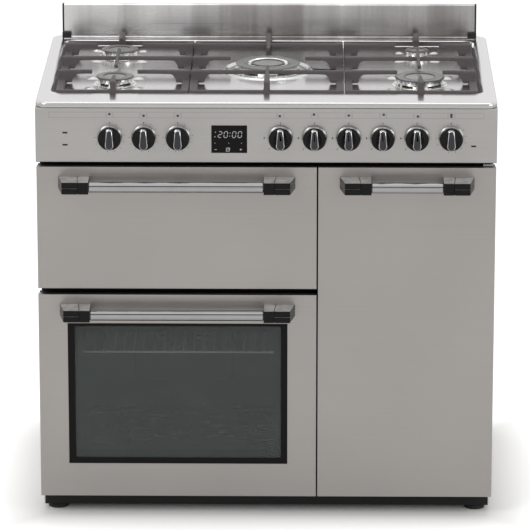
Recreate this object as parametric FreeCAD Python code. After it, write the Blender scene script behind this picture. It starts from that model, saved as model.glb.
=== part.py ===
import FreeCAD, Part
import math
import os

# A free-standing range cooker with two ovens and a grill oven, in millimetres.
# +Z is up, the front faces -Y and X runs to the right as seen from the front.
# The origin is on the floor, under the middle of the whole, handles included.

# ---- overall sizes ----
width = 900.0
depth = 600.0  # face of the doors to the rear edge of the hob
floor_gap = 43.0  # floor to the bottom edge of the doors
lower_door_height = 418.0
door_split = 12.6  # between the two left doors
upper_door_height = 247.0
panel_gap = 9.4  # between the doors and the control panel
panel_height = 109.0
hob_gap = 1.0
rim_height = 10.0
upstand_height = 70.0
tall_door_width = 347.2
door_side_gap = 2.8  # between the left doors and the tall door
door_inset = 1.0  # edge of a door inside the full width
body_inset = 5.0  # side panel inside the full width
rear_overhang = 25.0  # hob behind the back panel
flange = 15.0

# ---- sheets and gaps ----
sheet = 1.5
side_sheet = 1.2
frame_sheet = 2.0
base_sheet = 2.0
touch_gap = 0.3  # between curved or loose pieces at rest
running_gap = 0.05  # radial, shaft in hole
hole_gap = 0.5  # radial, pipe or stem through a plate

# ---- doors ----
door_thickness = 36.0
seal_gap = 8.0
panel_return = 14.0  # depth of the outer panel's folded edge
liner_lap = 6.0  # liner wall inside the folded edge
fold_bevel = 1.2  # along the folded edges of doors and panel
hinge_in = 20.0  # hinge axis behind the door's face
hinge_up = 13.0  # hinge axis inside the door's edge
hinge_pin_radius = 4.0
hinge_arm_width = 4.0
hinge_arm_half = 5.0
hinge_side = 24.0  # hinge arm inside the door's edge
hinge_cheek = 3.0
hinge_play = 1.0
hinge_plate = 3.0
hinge_hook = 6.0
hinge_tail = 8.0  # hinge arm behind the front frame
cheek_front = 6.0  # cheek in front of and above the pin
cheek_top = 12.0
tall_block = 16.0  # bored block at each end of the tall door
tall_block_half = 9.0
tall_block_reach = 10.0
tall_plate_half = 12.0
tall_pin = 14.0
tall_pin_in = 12.0
window_side = 57.0  # window inside the door's edges
window_height = 291.0
window_up = 68.0  # window above the door's bottom edge
glass = 4.0
glass_lap = 10.0
inner_glass_margin = 28.0  # inner pane smaller than the window, each side

# ---- handles ----
handle_proud = 50.0
handle_drop = 31.0  # handle's axis below the door's top
handle_margin = 51.7  # front of an end block from the door's edge
block_length = 52.0
block_flare = 10.0
block_height = 24.0
block_bevel = 1.5
bar_radius = 11.0
bar_inset = 2.0  # bar behind the front of its end blocks

# ---- ovens ----
cavity_depth = 400.0
cavity_sheet = 1.5
cavity_side = 49.0  # oven's inside from its door's edge
main_cavity_height = 330.0
main_cavity_up = 47.0  # above the lower door's bottom edge
grill_cavity_height = 185.0
grill_cavity_up = 31.4
tall_cavity_height = 600.0
seal_offset = 4.0
seal_width = 12.0
cover_half = 104.0
cover_depth = 40.0
grille_slots = 5
grille_slot = 60.0
grille_pitch = 12.0
outlet_slot = 90.0
slot_height = 5.0
fan_radius = 62.0
fan_hub_radius = 12.0
fan_plate = 1.5
fan_clearance = 8.0  # fan's plate in front of the oven's back
fan_blade = 20.0
fan_blade_length = 28.0
fan_blade_turn = 25.0
fan_blades = 6
fan_shaft_radius = 3.0
fan_shaft_reach = 16.0  # into the motor
motor_radius = 30.0
motor_length = 45.0
motor_yoke = 12.0
motor_yoke_plate = 3.0
element_radius = 3.2
ring_radius = 80.0
ring_clearance = 18.0  # heating rings and grill element from the oven's wall
ring_terminal = 12.0  # each terminal from the middle
grill_pitch = 100.0
grill_legs = 4
grill_inset = 40.0
hanger_inset = 50.0
lamp_radius = 18.0
lamp_depth = 14.0
lamp_from_side = 60.0  # oven lamp's middle from the left wall
lamp_from_top = 50.0
grill_lamp_from_top = 62.0
wire = 3.6  # side of a shelf's rim wire, which lies on the runners
thin_wire = 2.8
wire_pitch = 25.0
shelf_front = 25.0  # behind the front frame, and as far in front of the fan cover
rack_wire = 5.0
rack_end = 18.0  # rack's uprights past the end runners
rack_front = 40.0
rack_back = 30.0
upright_inset = 20.0
runner_reach = 16.0  # runner's inner edge from the wall
runner_thick = 4.0
main_racks = (90.0, 45.0, 4)  # first level above the floor, pitch and count
tall_racks = (70.0, 110.0, 4)
grill_racks = (50.0, 45.0, 2)
pan_depth = 28.0
pan_rim = 10.0
pan_wall = 1.5
pan_side = 3.0  # pan's wall from the runners
pan_corner = 14.0
pan_front = 30.0
pan_back = 60.0

# ---- controls ----
knob_up = 50.0  # axis above the panel's bottom edge
knob_pitch = 66.5
left_knobs_in = 211.4  # middle of the three left knobs from the panel's left end
right_knobs_in = 256.1  # middle of the six right knobs from its right end
knob_radius = 23.0
skirt_radius = 25.0
knob_depth = 12.0
knob_body = 8.0  # the part of the depth in front of the skirt
grip_depth = 9.0
grip_length = 40.0
grip_top_half = 6.5
grip_low_half = 9.5
grip_round = 2.0
gas_knob_gap = 4.0
oven_knob_gap = 1.0
stem_radius = 4.0
stem_flat = 2.5  # flat of the D-shaped end, from the axis
stem_socket = 10.0  # stem inside its knob
press_travel = 3.5
switch_shaft_radius = 3.0
switch_flat = 1.8
switch_half_width = 15.0
switch_half_height = 13.0
switch_depth = 25.5
shaft_reach = 19.0
tap_width = 24.0
tap_half_height = 14.0
tap_front = 8.0  # behind the panel's face
tap_depth = 22.0
tap_nose = 8.0
manifold_side = 16.0
manifold_front = 10.0
elbow_lip = 3.0
inlet_radius = 10.48  # outside of a half-inch pipe thread
supply_radius = 9.0
inlet_in = 35.0  # inlet's axis from the right end
inlet_stub = 20.0
clock_in = 378.0  # clock's middle from the panel's left end
clock_width = 69.2
clock_height = 54.8
clock_up = 47.1  # middle above the panel's bottom edge
clock_proud = 1.5
clock_depth = 26.0
clock_lip = 5.0
lamp_lens_length = 10.0
lamp_lens_height = 3.4
lens_proud = 0.8
lens_flange = 2.0
lens_flange_depth = 5.0
left_lamps_in = 57.8
right_lamp_in = 45.8
left_lamps_up = (59.3, 35.0)
right_lamp_up = 34.0

# ---- hob ----
recess_front = 80.0
recess_side = 25.0
recess_rear = 50.0
recess_depth = 8.0
rim_radius = 22.0
nose_bevel = 2.5
recess_radius = 26.0
row_pitch = 120.0
column_in = 122.0  # side burners' column from the recess's edge
cup_flange = 8.0
cup_thickness = 2.5
cup_depth = 22.0
crown_height = 8.5
cap_height = 5.5
cap_bevel = 2.4
crown_inset = 3.0
crown_wall = 6.0
flame_slots = 4
slot_width = 2.4
slot_depth = 3.0
spark_half = 2.0
spider_half = 5.0
spider_thick = 3.0
small_cap, medium_cap, large_cap = 24.0, 37.5, 49.5
wok_cap, wok_inner_cap, wok_cap_hole = 65.0, 34.0, 41.0
support_top = 20.0  # above the rim
support_split = 153.0
support_gap = 2.0
rail = 8.0
rail_up = 3.0
rail_height = 7.0
frame_gap = 6.0  # support's frame from the recess's slope
frame_side_gap = 2.0
pad_inset = 24.0  # middle of a support's pad from its end
arch_rise = 4.0  # where the arch begins, above the arm's foot
arch_steps = ((0.18, 0.5), (0.45, 0.86))  # along the arch and up it, as parts of both
post_length = 26.0
post_half = 6.0
tip_half = 3.5
tip_height = 9.0
burner_reach = 45.0
wok_reach = 75.0
upstand_depth = 15.0
upstand_inset = 21.0  # each end inside the full width
upstand_back = 10.0  # upstand in front of the hob's rear edge
upstand_foot = 13.0
hood_bevel = 1.5  # along the upstand's folded top
corner_block = 18.0
corner_block_height = 12.0

# ---- feet, plinth ----
skirt_bottom = 10.0
base_z = 39.0
foot_radius = 21.0
foot_top_radius = 17.0
foot_stem = 5.0  # half the stem's flat-sided end
foot_nut = 9.0  # half the square shoulder under the base
foot_reach = 8.0  # stem above the base pan's underside
foot_side = 27.0  # foot's axis inside the side panel
foot_in = 22.0  # foot's axis behind the side panel's front

# ---- rear ----
louvre_length = 110.0
louvre_height = 6.0
louvre_pitch = 24.0
louvre_count = 3
louvre_low = 120.0  # lower banks above the doors' bottom edge
louvre_high = 60.0  # upper banks below the control panel
terminal_in = 150.0  # terminal box's middle from the right end
terminal_up = 560.0
terminal_width = 96.0
terminal_height = 70.0
terminal_depth = 22.0
gland_radius = 8.0
gland_length = 12.0
gland_wall = 2.0
rail_web = 20.0
rail_lip = 16.0
rail_front = 20.0
rail_rear = 40.0
base_lip = 5.0

# ---- how many flat sides stand for a round one ----
fine_sides = 16
plain_sides = 12
hole_sides = 8

# ---- places worked out from the sizes ----
face = handle_proud - (depth + handle_proud) / 2
rear = face + depth
lower_top = floor_gap + lower_door_height
upper_bottom = lower_top + door_split
upper_top = upper_bottom + upper_door_height
panel_bottom = upper_top + panel_gap
panel_top = panel_bottom + panel_height
hob_z = panel_top + hob_gap + rim_height
hob_under = hob_z - sheet
body_front = face + door_thickness + seal_gap
shell_front = body_front + frame_sheet
body_rear = rear - rear_overhang
shell_rear = body_rear - side_sheet
body_x = width / 2 - body_inset
body_inner = body_x - side_sheet
foot_x = body_x - foot_side
foot_rows = (shell_front + foot_in, shell_rear - foot_in)
right_x1 = width / 2 - door_inset
right_x0 = right_x1 - tall_door_width
left_x1 = right_x0 - door_side_gap
left_x0 = -width / 2 + door_inset
left_x = (left_x0 + left_x1) / 2
right_x = (right_x0 + right_x1) / 2
cavity_back = shell_front + cavity_depth
knob_z = panel_bottom + knob_up
deck_z = hob_z - recess_depth
recess_x = width / 2 - recess_side
column = recess_x - column_in
inlet_x = width / 2 - inlet_in
terminal_x = width / 2 - terminal_in
clock_x = clock_in - width / 2
lamp_places = [(left_lamps_in - width / 2, up) for up in left_lamps_up]
lamp_places.append((width / 2 - right_lamp_in, right_lamp_up))
manifold_z = knob_z - tap_half_height - manifold_side / 2
recess_y0 = face + recess_front
recess_y1 = rear - recess_rear
middle_row = (recess_y0 + recess_y1) / 2
front_row = middle_row - row_pitch
rear_row = middle_row + row_pitch
support_z = hob_z + support_top
flange_z = deck_z + cup_thickness
crown_z = flange_z + crown_height
cap_z = crown_z + cap_height

# A cavity is x0, x1, z0, z1 of its inside.
main_z0 = floor_gap + main_cavity_up
grill_z0 = upper_bottom + grill_cavity_up
left_oven = (left_x0 + cavity_side, left_x1 - cavity_side)
main_cavity = left_oven + (main_z0, main_z0 + main_cavity_height)
grill_cavity = left_oven + (grill_z0, grill_z0 + grill_cavity_height)
tall_cavity = (right_x0 + cavity_side, right_x1 - cavity_side, main_z0, main_z0 + tall_cavity_height)
cavities = {"main_cavity": main_cavity, "grill_cavity": grill_cavity, "tall_cavity": tall_cavity}


def levels(floor, racks):
    first, pitch, count = racks
    return [floor + first + pitch * i for i in range(count)]


main_levels = levels(main_z0, main_racks)
tall_levels = levels(main_z0, tall_racks)
grill_levels = levels(grill_z0, grill_racks)

# A door is x0, x1, z0, z1 of its face.
grill_door = (left_x0, left_x1, upper_bottom, upper_top)
main_door = (left_x0, left_x1, floor_gap, lower_top)
tall_door = (right_x0, right_x1, floor_gap, upper_top)
window = (left_x0 + window_side, left_x1 - window_side,
          floor_gap + window_up, floor_gap + window_up + window_height)

left_knobs = [left_knobs_in - width / 2 + i * knob_pitch for i in (-1, 0, 1)]
right_knobs = [width / 2 - right_knobs_in + (i - 2.5) * knob_pitch for i in range(6)]
gas_knobs = right_knobs[:5]
oven_knobs = left_knobs + right_knobs[5:]

burners = (
    (-column, front_row, medium_cap),
    (-column, rear_row, medium_cap),
    (column, front_row, large_cap),
    (column, rear_row, small_cap),
)

X = FreeCAD.Vector(1, 0, 0)
Y = FreeCAD.Vector(0, 1, 0)
Z = FreeCAD.Vector(0, 0, 1)


def vec(x, y, z):
    return FreeCAD.Vector(x, y, z)


def box(x0, x1, y0, y1, z0, z1):
    return Part.makeBox(x1 - x0, y1 - y0, z1 - z0, vec(x0, y0, z0))


def rod(centre, axis, radius, length):
    return Part.makeCylinder(radius, length, centre, axis)


def prism(points, along):
    wire = Part.makePolygon([vec(*p) for p in points] + [vec(*points[0])])
    return Part.Face(wire).extrude(along)


def polygon(centre, axis, radius, sides):
    """The corners of a regular polygon across an axis."""
    one = Y if axis.x else X
    other = Y if axis.z else Z
    turns = [2 * math.pi * i / sides for i in range(sides)]
    return [centre + one * (radius * math.cos(t)) + other * (radius * math.sin(t)) for t in turns]


def disc(centre, axis, radius, length, sides):
    """A round piece with flat sides, whose corners lie on the radius."""
    return prism(polygon(centre, axis, radius, sides), axis * length)


def bore(centre, axis, radius, length, sides=hole_sides):
    """A hole's cutter with flat sides, which lie on the radius."""
    return disc(centre, axis, radius / math.cos(math.pi / sides), length, sides)


def join(shapes):
    whole = shapes[0].multiFuse(shapes[1:]) if len(shapes) > 1 else shapes[0]
    return whole.removeSplitter()


def mirror_x(shape):
    return shape.mirror(vec(0, 0, 0), X)


def rounded(x0, x1, y0, y1, z, radius):
    """A rectangle with round corners, as a wire at height z."""
    edges = []
    for i, (x, y) in enumerate(((x1, y1), (x0, y1), (x0, y0), (x1, y0))):
        cx = x - radius if x == x1 else x + radius
        cy = y - radius if y == y1 else y + radius
        turn = i * math.pi / 2
        circle = Part.Circle(vec(cx, cy, z), Z, radius)
        edges.append(Part.Arc(circle, turn, turn + math.pi / 2).toShape())
    wire = []
    for here, after in zip(edges, edges[1:] + edges[:1]):
        wire += [here, Part.makeLine(here.Vertexes[-1].Point, after.Vertexes[0].Point)]
    return Part.Wire(wire)


def rounded_plate(x0, x1, y0, y1, z0, z1, radius):
    return Part.Face(rounded(x0, x1, y0, y1, z0, radius)).extrude(Z * (z1 - z0))


def cornered(x0, x1, y0, y1, z0, z1, corner):
    """A plate whose four corners are cut off."""
    points = [(x0 + corner, y0), (x1 - corner, y0), (x1, y0 + corner), (x1, y1 - corner),
              (x1 - corner, y1), (x0 + corner, y1), (x0, y1 - corner), (x0, y0 + corner)]
    return prism([(x, y, z0) for x, y in points], Z * (z1 - z0))


def pan(x0, x1, z0, z1, front, back, wall, bevel):
    """A sheet pan whose face is at front and whose walls run back."""
    outer = box(x0, x1, front, back, z0, z1)
    if bevel:
        edges = [e for e in outer.Edges if e.BoundBox.YMax < front + 0.01]
        outer = outer.makeChamfer(bevel, edges)
    return outer.cut(box(x0 + wall, x1 - wall, front + wall, back + 1, z0 + wall, z1 - wall))


def save(name, *shapes):
    solids = [s for shape in shapes for s in shape.Solids]
    for solid in solids:
        if not solid.isValid():
            print("not valid:", name)
    Part.makeCompound(solids).exportStep("parts/" + name + ".step")
    print(name, len(solids))


# ---- body ----

def side_panel():
    """The right side panel, a sheet with its edges folded inwards."""
    fold_x = body_x - flange
    parts = [
        box(body_inner, body_x, shell_front, shell_rear, skirt_bottom, hob_under),
        box(fold_x, body_x, shell_front, shell_front + side_sheet, base_z, hob_under),
        box(fold_x, body_x, shell_rear - side_sheet, shell_rear, skirt_bottom, hob_under),
        box(fold_x, body_x, shell_front, shell_rear, hob_under - side_sheet, hob_under),
        box(fold_x, body_x, shell_front + flange, shell_rear, skirt_bottom, skirt_bottom + side_sheet),
    ]
    return join(parts)


def back_panel():
    """The rear sheet with its louvres and its inlet hole."""
    plate = box(-body_x, body_x, shell_rear, body_rear, base_z, hob_under)
    cuts = [bore(vec(inlet_x, shell_rear - 1, manifold_z), Y, inlet_radius + hole_gap, side_sheet + 2)]
    half = louvre_length / 2
    for bank_x in (left_x, right_x):
        for bank_z in (floor_gap + louvre_low, panel_bottom - louvre_high):
            for i in range(louvre_count):
                z = bank_z + i * louvre_pitch
                cuts.append(box(bank_x - half, bank_x + half, shell_rear - 1, body_rear + 1,
                                z, z + louvre_height))
    return plate.cut(Part.makeCompound(cuts))


def terminal_box():
    """The cover over the mains terminals, with a cable entry in its underside."""
    x0, x1 = terminal_x - terminal_width / 2, terminal_x + terminal_width / 2
    z0, z1 = terminal_up, terminal_up + terminal_height
    y1 = body_rear + terminal_depth
    cover = box(x0, x1, body_rear, y1, z0, z1)
    cover = cover.cut(box(x0 + sheet, x1 - sheet, body_rear - 1, y1 - sheet, z0 + sheet, z1 - sheet))
    middle = body_rear + terminal_depth / 2
    gland = disc(vec(terminal_x, middle, z0 - gland_length / 2), Z, gland_radius + gland_wall,
                 gland_length, hole_sides)
    hole = rod(vec(terminal_x, middle, z0 - gland_length), Z, gland_radius, 3 * gland_length)
    return cover.fuse(gland).removeSplitter().cut(hole)


def front_frame():
    """The plate that carries the ovens' mouths, the hinges and the seals."""
    plate = box(-body_x, body_x, body_front, shell_front, base_z, hob_under)
    for x0, x1, z0, z1 in cavities.values():
        plate = plate.cut(box(x0, x1, body_front - 1, shell_front + 1, z0, z1))
    for x0, x1, z0, z1 in (grill_door, main_door):
        for x in (x0 + hinge_side, x1 - hinge_side):
            z = z0 + hinge_up
            slot = box(x - hinge_arm_width / 2 - touch_gap, x + hinge_arm_width / 2 + touch_gap,
                       body_front - 1, shell_front + 1,
                       z - hinge_arm_half - touch_gap, z + hinge_arm_half + touch_gap)
            plate = plate.cut(slot)
    pipe = bore(vec(inlet_x, body_front - 1, manifold_z), Y, supply_radius + hole_gap, frame_sheet + 2)
    return plate.cut(pipe)


def chassis_rails():
    """The base pan that stands on the feet and the two rails under the hob."""
    y0, y1 = shell_front + sheet, shell_rear - side_sheet
    bottom = box(-body_inner, body_inner, y0, y1, base_z, base_z + base_sheet)
    lips = [box(-body_x + flange, body_x - flange, y, y + base_sheet, base_z, base_z + base_lip)
            for y in (y0, y1 - base_sheet)]
    base = join([bottom] + lips)
    half = foot_stem + hole_gap
    for x in (-foot_x, foot_x):
        for y in foot_rows:
            base = base.cut(box(x - half, x + half, y - half, y + half, base_z - 1, base_z + base_sheet + 1))
    rails = []
    under_deck = deck_z - sheet
    for y in (recess_y0 + rail_front, recess_y1 - rail_rear):
        web = box(-body_inner, body_inner, y, y + base_sheet, under_deck - rail_web, under_deck)
        lip = box(-body_inner, body_inner, y, y + rail_lip, under_deck - base_sheet, under_deck)
        rails.append(join([web, lip]))
    return [base] + rails


def feet():
    """Levelling feet: a tapered pad with a square shoulder and its stem."""
    made = []
    for x in (-foot_x, foot_x):
        for y in foot_rows:
            rings = [polygon(vec(x, y, z), Z, radius, plain_sides)
                     for z, radius in ((0, foot_radius), (skirt_bottom, foot_top_radius))]
            pad = Part.makeLoft([Part.makePolygon(r + r[:1]) for r in rings], True, True)
            shoulder = box(x - foot_nut, x + foot_nut, y - foot_nut, y + foot_nut, skirt_bottom - 1, base_z)
            stem = box(x - foot_stem, x + foot_stem, y - foot_stem, y + foot_stem,
                       base_z - 1, base_z + foot_reach)
            made.append(join([pad, shoulder, stem]))
    return made


def plinth():
    """The black strip between the side panels, folded back along its edges."""
    return pan(-body_inner, body_inner, skirt_bottom, base_z, shell_front,
               foot_rows[0] - foot_nut - hole_gap, sheet, 0)


# ---- hob ----

def hob_top():
    """The pressed top: a rolled rim round a sunk deck with sloping walls."""
    x = width / 2
    outer = rounded_plate(-x, x, face, rear, hob_z - rim_height, hob_z, rim_radius)
    outer = outer.makeChamfer(nose_bevel, [e for e in outer.Edges if e.BoundBox.ZMin > hob_z - 0.01])
    hollow = cornered(-x + sheet, x - sheet, face + sheet, rear - sheet,
                      hob_z - rim_height - 1, hob_under, rim_radius)
    slope = recess_depth

    def tray(z0, z1, grow):
        low, high = grow + (z0 - deck_z), grow + (z1 - deck_z)
        wires = [rounded(-recess_x + slope - g, recess_x - slope + g, recess_y0 + slope - g,
                         recess_y1 - slope + g, z, recess_radius - slope + g)
                 for z, g in ((z0, low), (z1, high))]
        return Part.makeLoft(wires, True, True)

    under = tray(deck_z - sheet, hob_under + 0.2, 2 * sheet)
    top = outer.cut(hollow).fuse(under).cut(tray(deck_z, hob_z + 1, 0))
    for bx, by, cap in burners + ((0.0, middle_row, wok_cap),):
        hole = disc(vec(bx, by, deck_z - recess_depth), Z, cap - crown_inset + hole_gap, 2 * recess_depth,
                    hole_sides)
        top = top.cut(hole)
    return top.removeSplitter()


def burner_cup(x, y, cap):
    """A cup hung in the deck by its flange."""
    outer = disc(vec(x, y, deck_z), Z, cap + cup_flange, cup_thickness, fine_sides)
    well = disc(vec(x, y, deck_z - cup_depth), Z, cap - crown_inset, cup_depth + cup_thickness, hole_sides)
    return join([outer, well])


def spark_pin(x, y, cap):
    """The ceramic pin that lights a burner, on the cup's flange."""
    away = (cap + cup_flange / 2) * math.sqrt(0.5)
    return box(x - away - spark_half, x - away + spark_half, y - away - spark_half, y - away + spark_half,
               flange_z, crown_z)


def burner_crown(x, y, cap):
    """A ring with flame slots across its upper edge."""
    radius = cap - crown_inset
    ring = disc(vec(x, y, flange_z), Z, radius, crown_height, fine_sides)
    ring = ring.cut(disc(vec(x, y, flange_z - 1), Z, radius - crown_wall, crown_height + 2, plain_sides))
    slots = []
    for i in range(flame_slots):
        slot = box(0, radius + 1, -slot_width / 2, slot_width / 2, crown_z - slot_depth, crown_z + 1)
        slot.rotate(vec(0, 0, 0), Z, 360.0 * (i + 0.5) / flame_slots)
        slot.translate(vec(x, y, 0))
        slots.append(slot)
    return ring.cut(Part.makeCompound(slots))


def wok_spider():
    """The inner flame ring of the large burner, on a foot that crosses its cup."""
    ring = disc(vec(0, middle_row, flange_z), Z, wok_inner_cap - crown_inset, crown_height, fine_sides)
    reach = wok_cap - crown_inset - crown_wall - spider_thick
    foot = box(-reach, reach, middle_row - spider_half, middle_row + spider_half,
               flange_z, flange_z + spider_thick)
    return join([ring, foot])


def burner_cap(x, y, cap, hole=0.0):
    """A lid with a bevelled edge, open in the middle where hole is given."""
    lid = disc(vec(x, y, crown_z), Z, cap, cap_height, fine_sides)
    lid = lid.makeChamfer(cap_bevel, [e for e in lid.Edges if e.BoundBox.ZMin > cap_z - 0.01])
    if hole:
        return lid.cut(disc(vec(x, y, crown_z - 1), Z, hole, cap_height + 2, fine_sides))
    return lid


def arm(along, across, start, end, low):
    """A cast arm from its thick foot at start to its slender tip at end.

    along is "x" or "y"; the arm lies at across on the other axis.
    """
    sign = 1 if end > start else -1
    foot_end = start + sign * post_length
    spring = low + arch_rise
    tip_low = support_z - tip_height
    outline = [(start, low), (start, support_z), (end, support_z), (end, tip_low)]
    for run, rise in reversed(arch_steps):
        outline.append((foot_end + (end - foot_end) * run, spring + (tip_low - spring) * rise))
    outline += [(foot_end, spring), (foot_end, low)]
    plan = [(start, -post_half), (foot_end, -post_half), (end, -tip_half),
            (end, tip_half), (foot_end, post_half), (start, post_half)]
    if along == "x":
        side = prism([(s, across - post_half, z) for s, z in outline], Y * (2 * post_half))
        corners = [(s, across + t, low - 1) for s, t in plan]
    else:
        side = prism([(across - post_half, s, z) for s, z in outline], X * (2 * post_half))
        corners = [(across + t, s, low - 1) for s, t in plan]
    return side.common(prism(corners, Z * (support_z - low + 2)))


def pan_support(x0, x1, column_x, reach, wok):
    """One cast-iron grid: a low frame, three rows of arms and the fingers between."""
    y0 = recess_y0 + recess_depth + frame_gap
    y1 = recess_y1 - recess_depth - frame_gap
    low = deck_z + rail_up
    rails = [box(x, x + rail, y0, y1, low, low + rail_height) for x in (x0, x1 - rail)]
    rails += [box(x0, x1, y, y + rail, low, low + rail_height) for y in (y0, y1 - rail)]
    pads = [box(x, x + rail, y - rail, y + rail, deck_z, low + 1)
            for x in (x0, x1 - rail) for y in (y0 + pad_inset, y1 - pad_inset)]
    parts = rails + pads
    for row in (front_row, middle_row, rear_row):
        through = (row != middle_row) if wok else (row == middle_row)
        if through:
            parts += [arm("x", row, x0, column_x + 1, low), arm("x", row, x1, column_x - 1, low)]
        else:
            parts += [arm("x", row, x0, column_x - reach, low), arm("x", row, x1, column_x + reach, low)]
    if wok:
        parts += [arm("y", column_x, y0, middle_row - reach, low),
                  arm("y", column_x, y1, middle_row + reach, low)]
    else:
        parts += [arm("y", column_x, y0, front_row - reach, low),
                  arm("y", column_x, y1, rear_row + reach, low)]
        half = row_pitch - reach
        parts.append(box(column_x - tip_half, column_x + tip_half, middle_row - half, middle_row + half,
                         support_z - tip_height, support_z))
    return join(parts)


def upstand():
    """The folded strip along the rear of the hob."""
    x = width / 2 - upstand_inset
    y1 = rear - upstand_back
    y0 = y1 - upstand_depth
    hood = box(-x, x, y0, y1, hob_z, hob_z + upstand_height)
    hood = hood.makeChamfer(hood_bevel, [e for e in hood.Edges if e.BoundBox.ZMin > hob_z + 1
                                          and e.BoundBox.XLength > 1])
    hood = hood.cut(box(-x + sheet, x - sheet, y0 + sheet, y1 - sheet, hob_z - 1,
                        hob_z + upstand_height - sheet))
    foot = box(-x, x, y0 - upstand_foot, y0 + sheet, hob_z, hob_z + sheet)
    return join([hood, foot])


def upstand_brackets():
    x = width / 2 - upstand_inset
    y0 = rear - upstand_back - upstand_depth
    z = hob_z + sheet
    block = box(x - corner_block, x, y0 - upstand_foot, y0, z, z + corner_block_height)
    block = block.makeChamfer(sheet, [e for e in block.Edges if e.BoundBox.ZMin > z + 1])
    return [block, mirror_x(block)]


# ---- controls ----

def lens(x, up, grow, y0, y1):
    half_length, half_height = lamp_lens_length / 2 + grow, lamp_lens_height / 2 + grow
    z = panel_bottom + up
    return box(x - half_length, x + half_length, y0, y1, z - half_height, z + half_height)


def control_panel():
    """The folded fascia with its holes for the stems, the clock and the lamps."""
    x = width / 2
    shell = pan(-x, x, panel_bottom, panel_top, face, body_front, sheet, fold_bevel)
    cuts = [clock_body(touch_gap)]
    for places, radius in ((gas_knobs, stem_radius), (oven_knobs, switch_shaft_radius)):
        half = radius + hole_gap
        cuts += [box(kx - half, kx + half, face - 1, face + sheet + 1, knob_z - half, knob_z + half)
                 for kx in places]
    cuts += [lens(lx, up, 0, face - 1, face + sheet + 1) for lx, up in lamp_places]
    return shell.cut(Part.makeCompound(cuts))


def clock_body(grow=0.0):
    half_w, half_h = clock_width / 2 + grow, clock_height / 2 + grow
    z = panel_bottom + clock_up
    return box(clock_x - half_w, clock_x + half_w, face - clock_proud, face + clock_depth,
               z - half_h, z + half_h)


def clock_display():
    """The clock module, fixed to the fascia's rear by its shoulder."""
    z = panel_bottom + clock_up
    half_w, half_h = clock_width / 2 + clock_lip, clock_height / 2 + clock_lip
    shoulder = box(clock_x - half_w, clock_x + half_w, face + sheet, face + clock_depth,
                   z - half_h, z + half_h)
    return join([clock_body(), shoulder])


def indicator_lenses():
    made = []
    for x, up in lamp_places:
        window_part = lens(x, up, -running_gap, face - lens_proud, face + sheet + 1)
        back = lens(x, up, lens_flange, face + sheet, face + sheet + lens_flange_depth)
        made.append(join([window_part, back]))
    return made


def knob(x, gap):
    """A round knob with a skirt and an upright grip, narrow at the top and wide below."""
    back = face - gap
    front = face - gas_knob_gap - knob_depth
    skirt_depth = back - front - knob_body
    skirt = disc(vec(x, back, knob_z), -Y, skirt_radius, skirt_depth, fine_sides)
    body = disc(vec(x, back - skirt_depth, knob_z), -Y, knob_radius, knob_body, fine_sides)
    top, low = knob_z + grip_length / 2, knob_z - grip_length / 2
    outline = [(grip_top_half, top - grip_round), (grip_top_half - grip_round, top),
               (grip_round - grip_top_half, top), (-grip_top_half, top - grip_round),
               (-grip_low_half, low + grip_low_half / 2), (-grip_low_half / 2, low),
               (grip_low_half / 2, low), (grip_low_half, low + grip_low_half / 2)]
    grip = prism([(x + a, front + 1, z) for a, z in outline], -Y * (grip_depth + 1))
    return join([skirt, body, grip])


def gas_knob(x):
    """A knob with a D-shaped socket, deep enough for the press."""
    socket = bore(vec(x, face - gas_knob_gap + 1, knob_z), -Y, stem_radius + running_gap,
                  1 + stem_socket + press_travel + 1.5)
    flat_z = knob_z + stem_flat + running_gap
    above = box(x - skirt_radius, x + skirt_radius, face - handle_proud, face, flat_z, flat_z + skirt_radius)
    return knob(x, gas_knob_gap).cut(socket.cut(above))


def oven_knob(x):
    """An oven knob with its own shaft, which turns in the switch."""
    shaft = flatted(x, face - oven_knob_gap - 1, face + shaft_reach - 1, switch_shaft_radius, switch_flat)
    return join([knob(x, oven_knob_gap), shaft])


def flatted(x, front, back, radius, flat):
    """A round stem with a flat along its upper side."""
    above = box(x - radius, x + radius, front - 1, back + 1, knob_z + flat, knob_z + 2 * radius)
    return rod(vec(x, front, knob_z), Y, radius, back - front).cut(above)


def tap_stem(x):
    return flatted(x, face - gas_knob_gap - stem_socket, face + tap_front + tap_depth + sheet,
                   stem_radius, stem_flat)


def gas_rail():
    """The square manifold, its five taps and the supply pipe to the rear inlet."""
    z0 = manifold_z - manifold_side / 2
    z1 = manifold_z + manifold_side / 2
    y0, y1 = face + manifold_front, face + manifold_front + manifold_side
    x0, x1 = gas_knobs[0] - tap_width, inlet_x - inlet_radius - 1
    supply_y = body_front - 2 * sheet
    pipe = box(x0, x1, y0, y1, z0, z1)
    elbow = box(x1, inlet_x + inlet_radius, y0 - elbow_lip, supply_y, z0 - elbow_lip, z1 + elbow_lip)
    supply = disc(vec(inlet_x, supply_y, manifold_z), Y, supply_radius, body_rear - supply_y + 1, plain_sides)
    inlet = rod(vec(inlet_x, body_rear, manifold_z), Y, inlet_radius, inlet_stub)
    made = [join([pipe, elbow, supply, inlet])]
    for x in gas_knobs:
        body = box(x - tap_width / 2, x + tap_width / 2, face + tap_front, face + tap_front + tap_depth,
                   knob_z - tap_half_height, knob_z + tap_half_height)
        nose = box(x - tap_nose, x + tap_nose, face + sheet, face + tap_front + 1,
                   knob_z - tap_nose, knob_z + tap_nose)
        hole = bore(vec(x, face, knob_z), Y, stem_radius + running_gap, tap_front + tap_depth + 1)
        made.append(join([body, nose]).cut(hole))
    return made


def oven_switches():
    made = []
    for x in oven_knobs:
        body = box(x - switch_half_width, x + switch_half_width, face + sheet, face + sheet + switch_depth,
                   knob_z - switch_half_height, knob_z + switch_half_height)
        made.append(body.cut(bore(vec(x, face, knob_z), Y, switch_shaft_radius + running_gap,
                                  shaft_reach + sheet)))
    return made


# ---- doors ----

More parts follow.
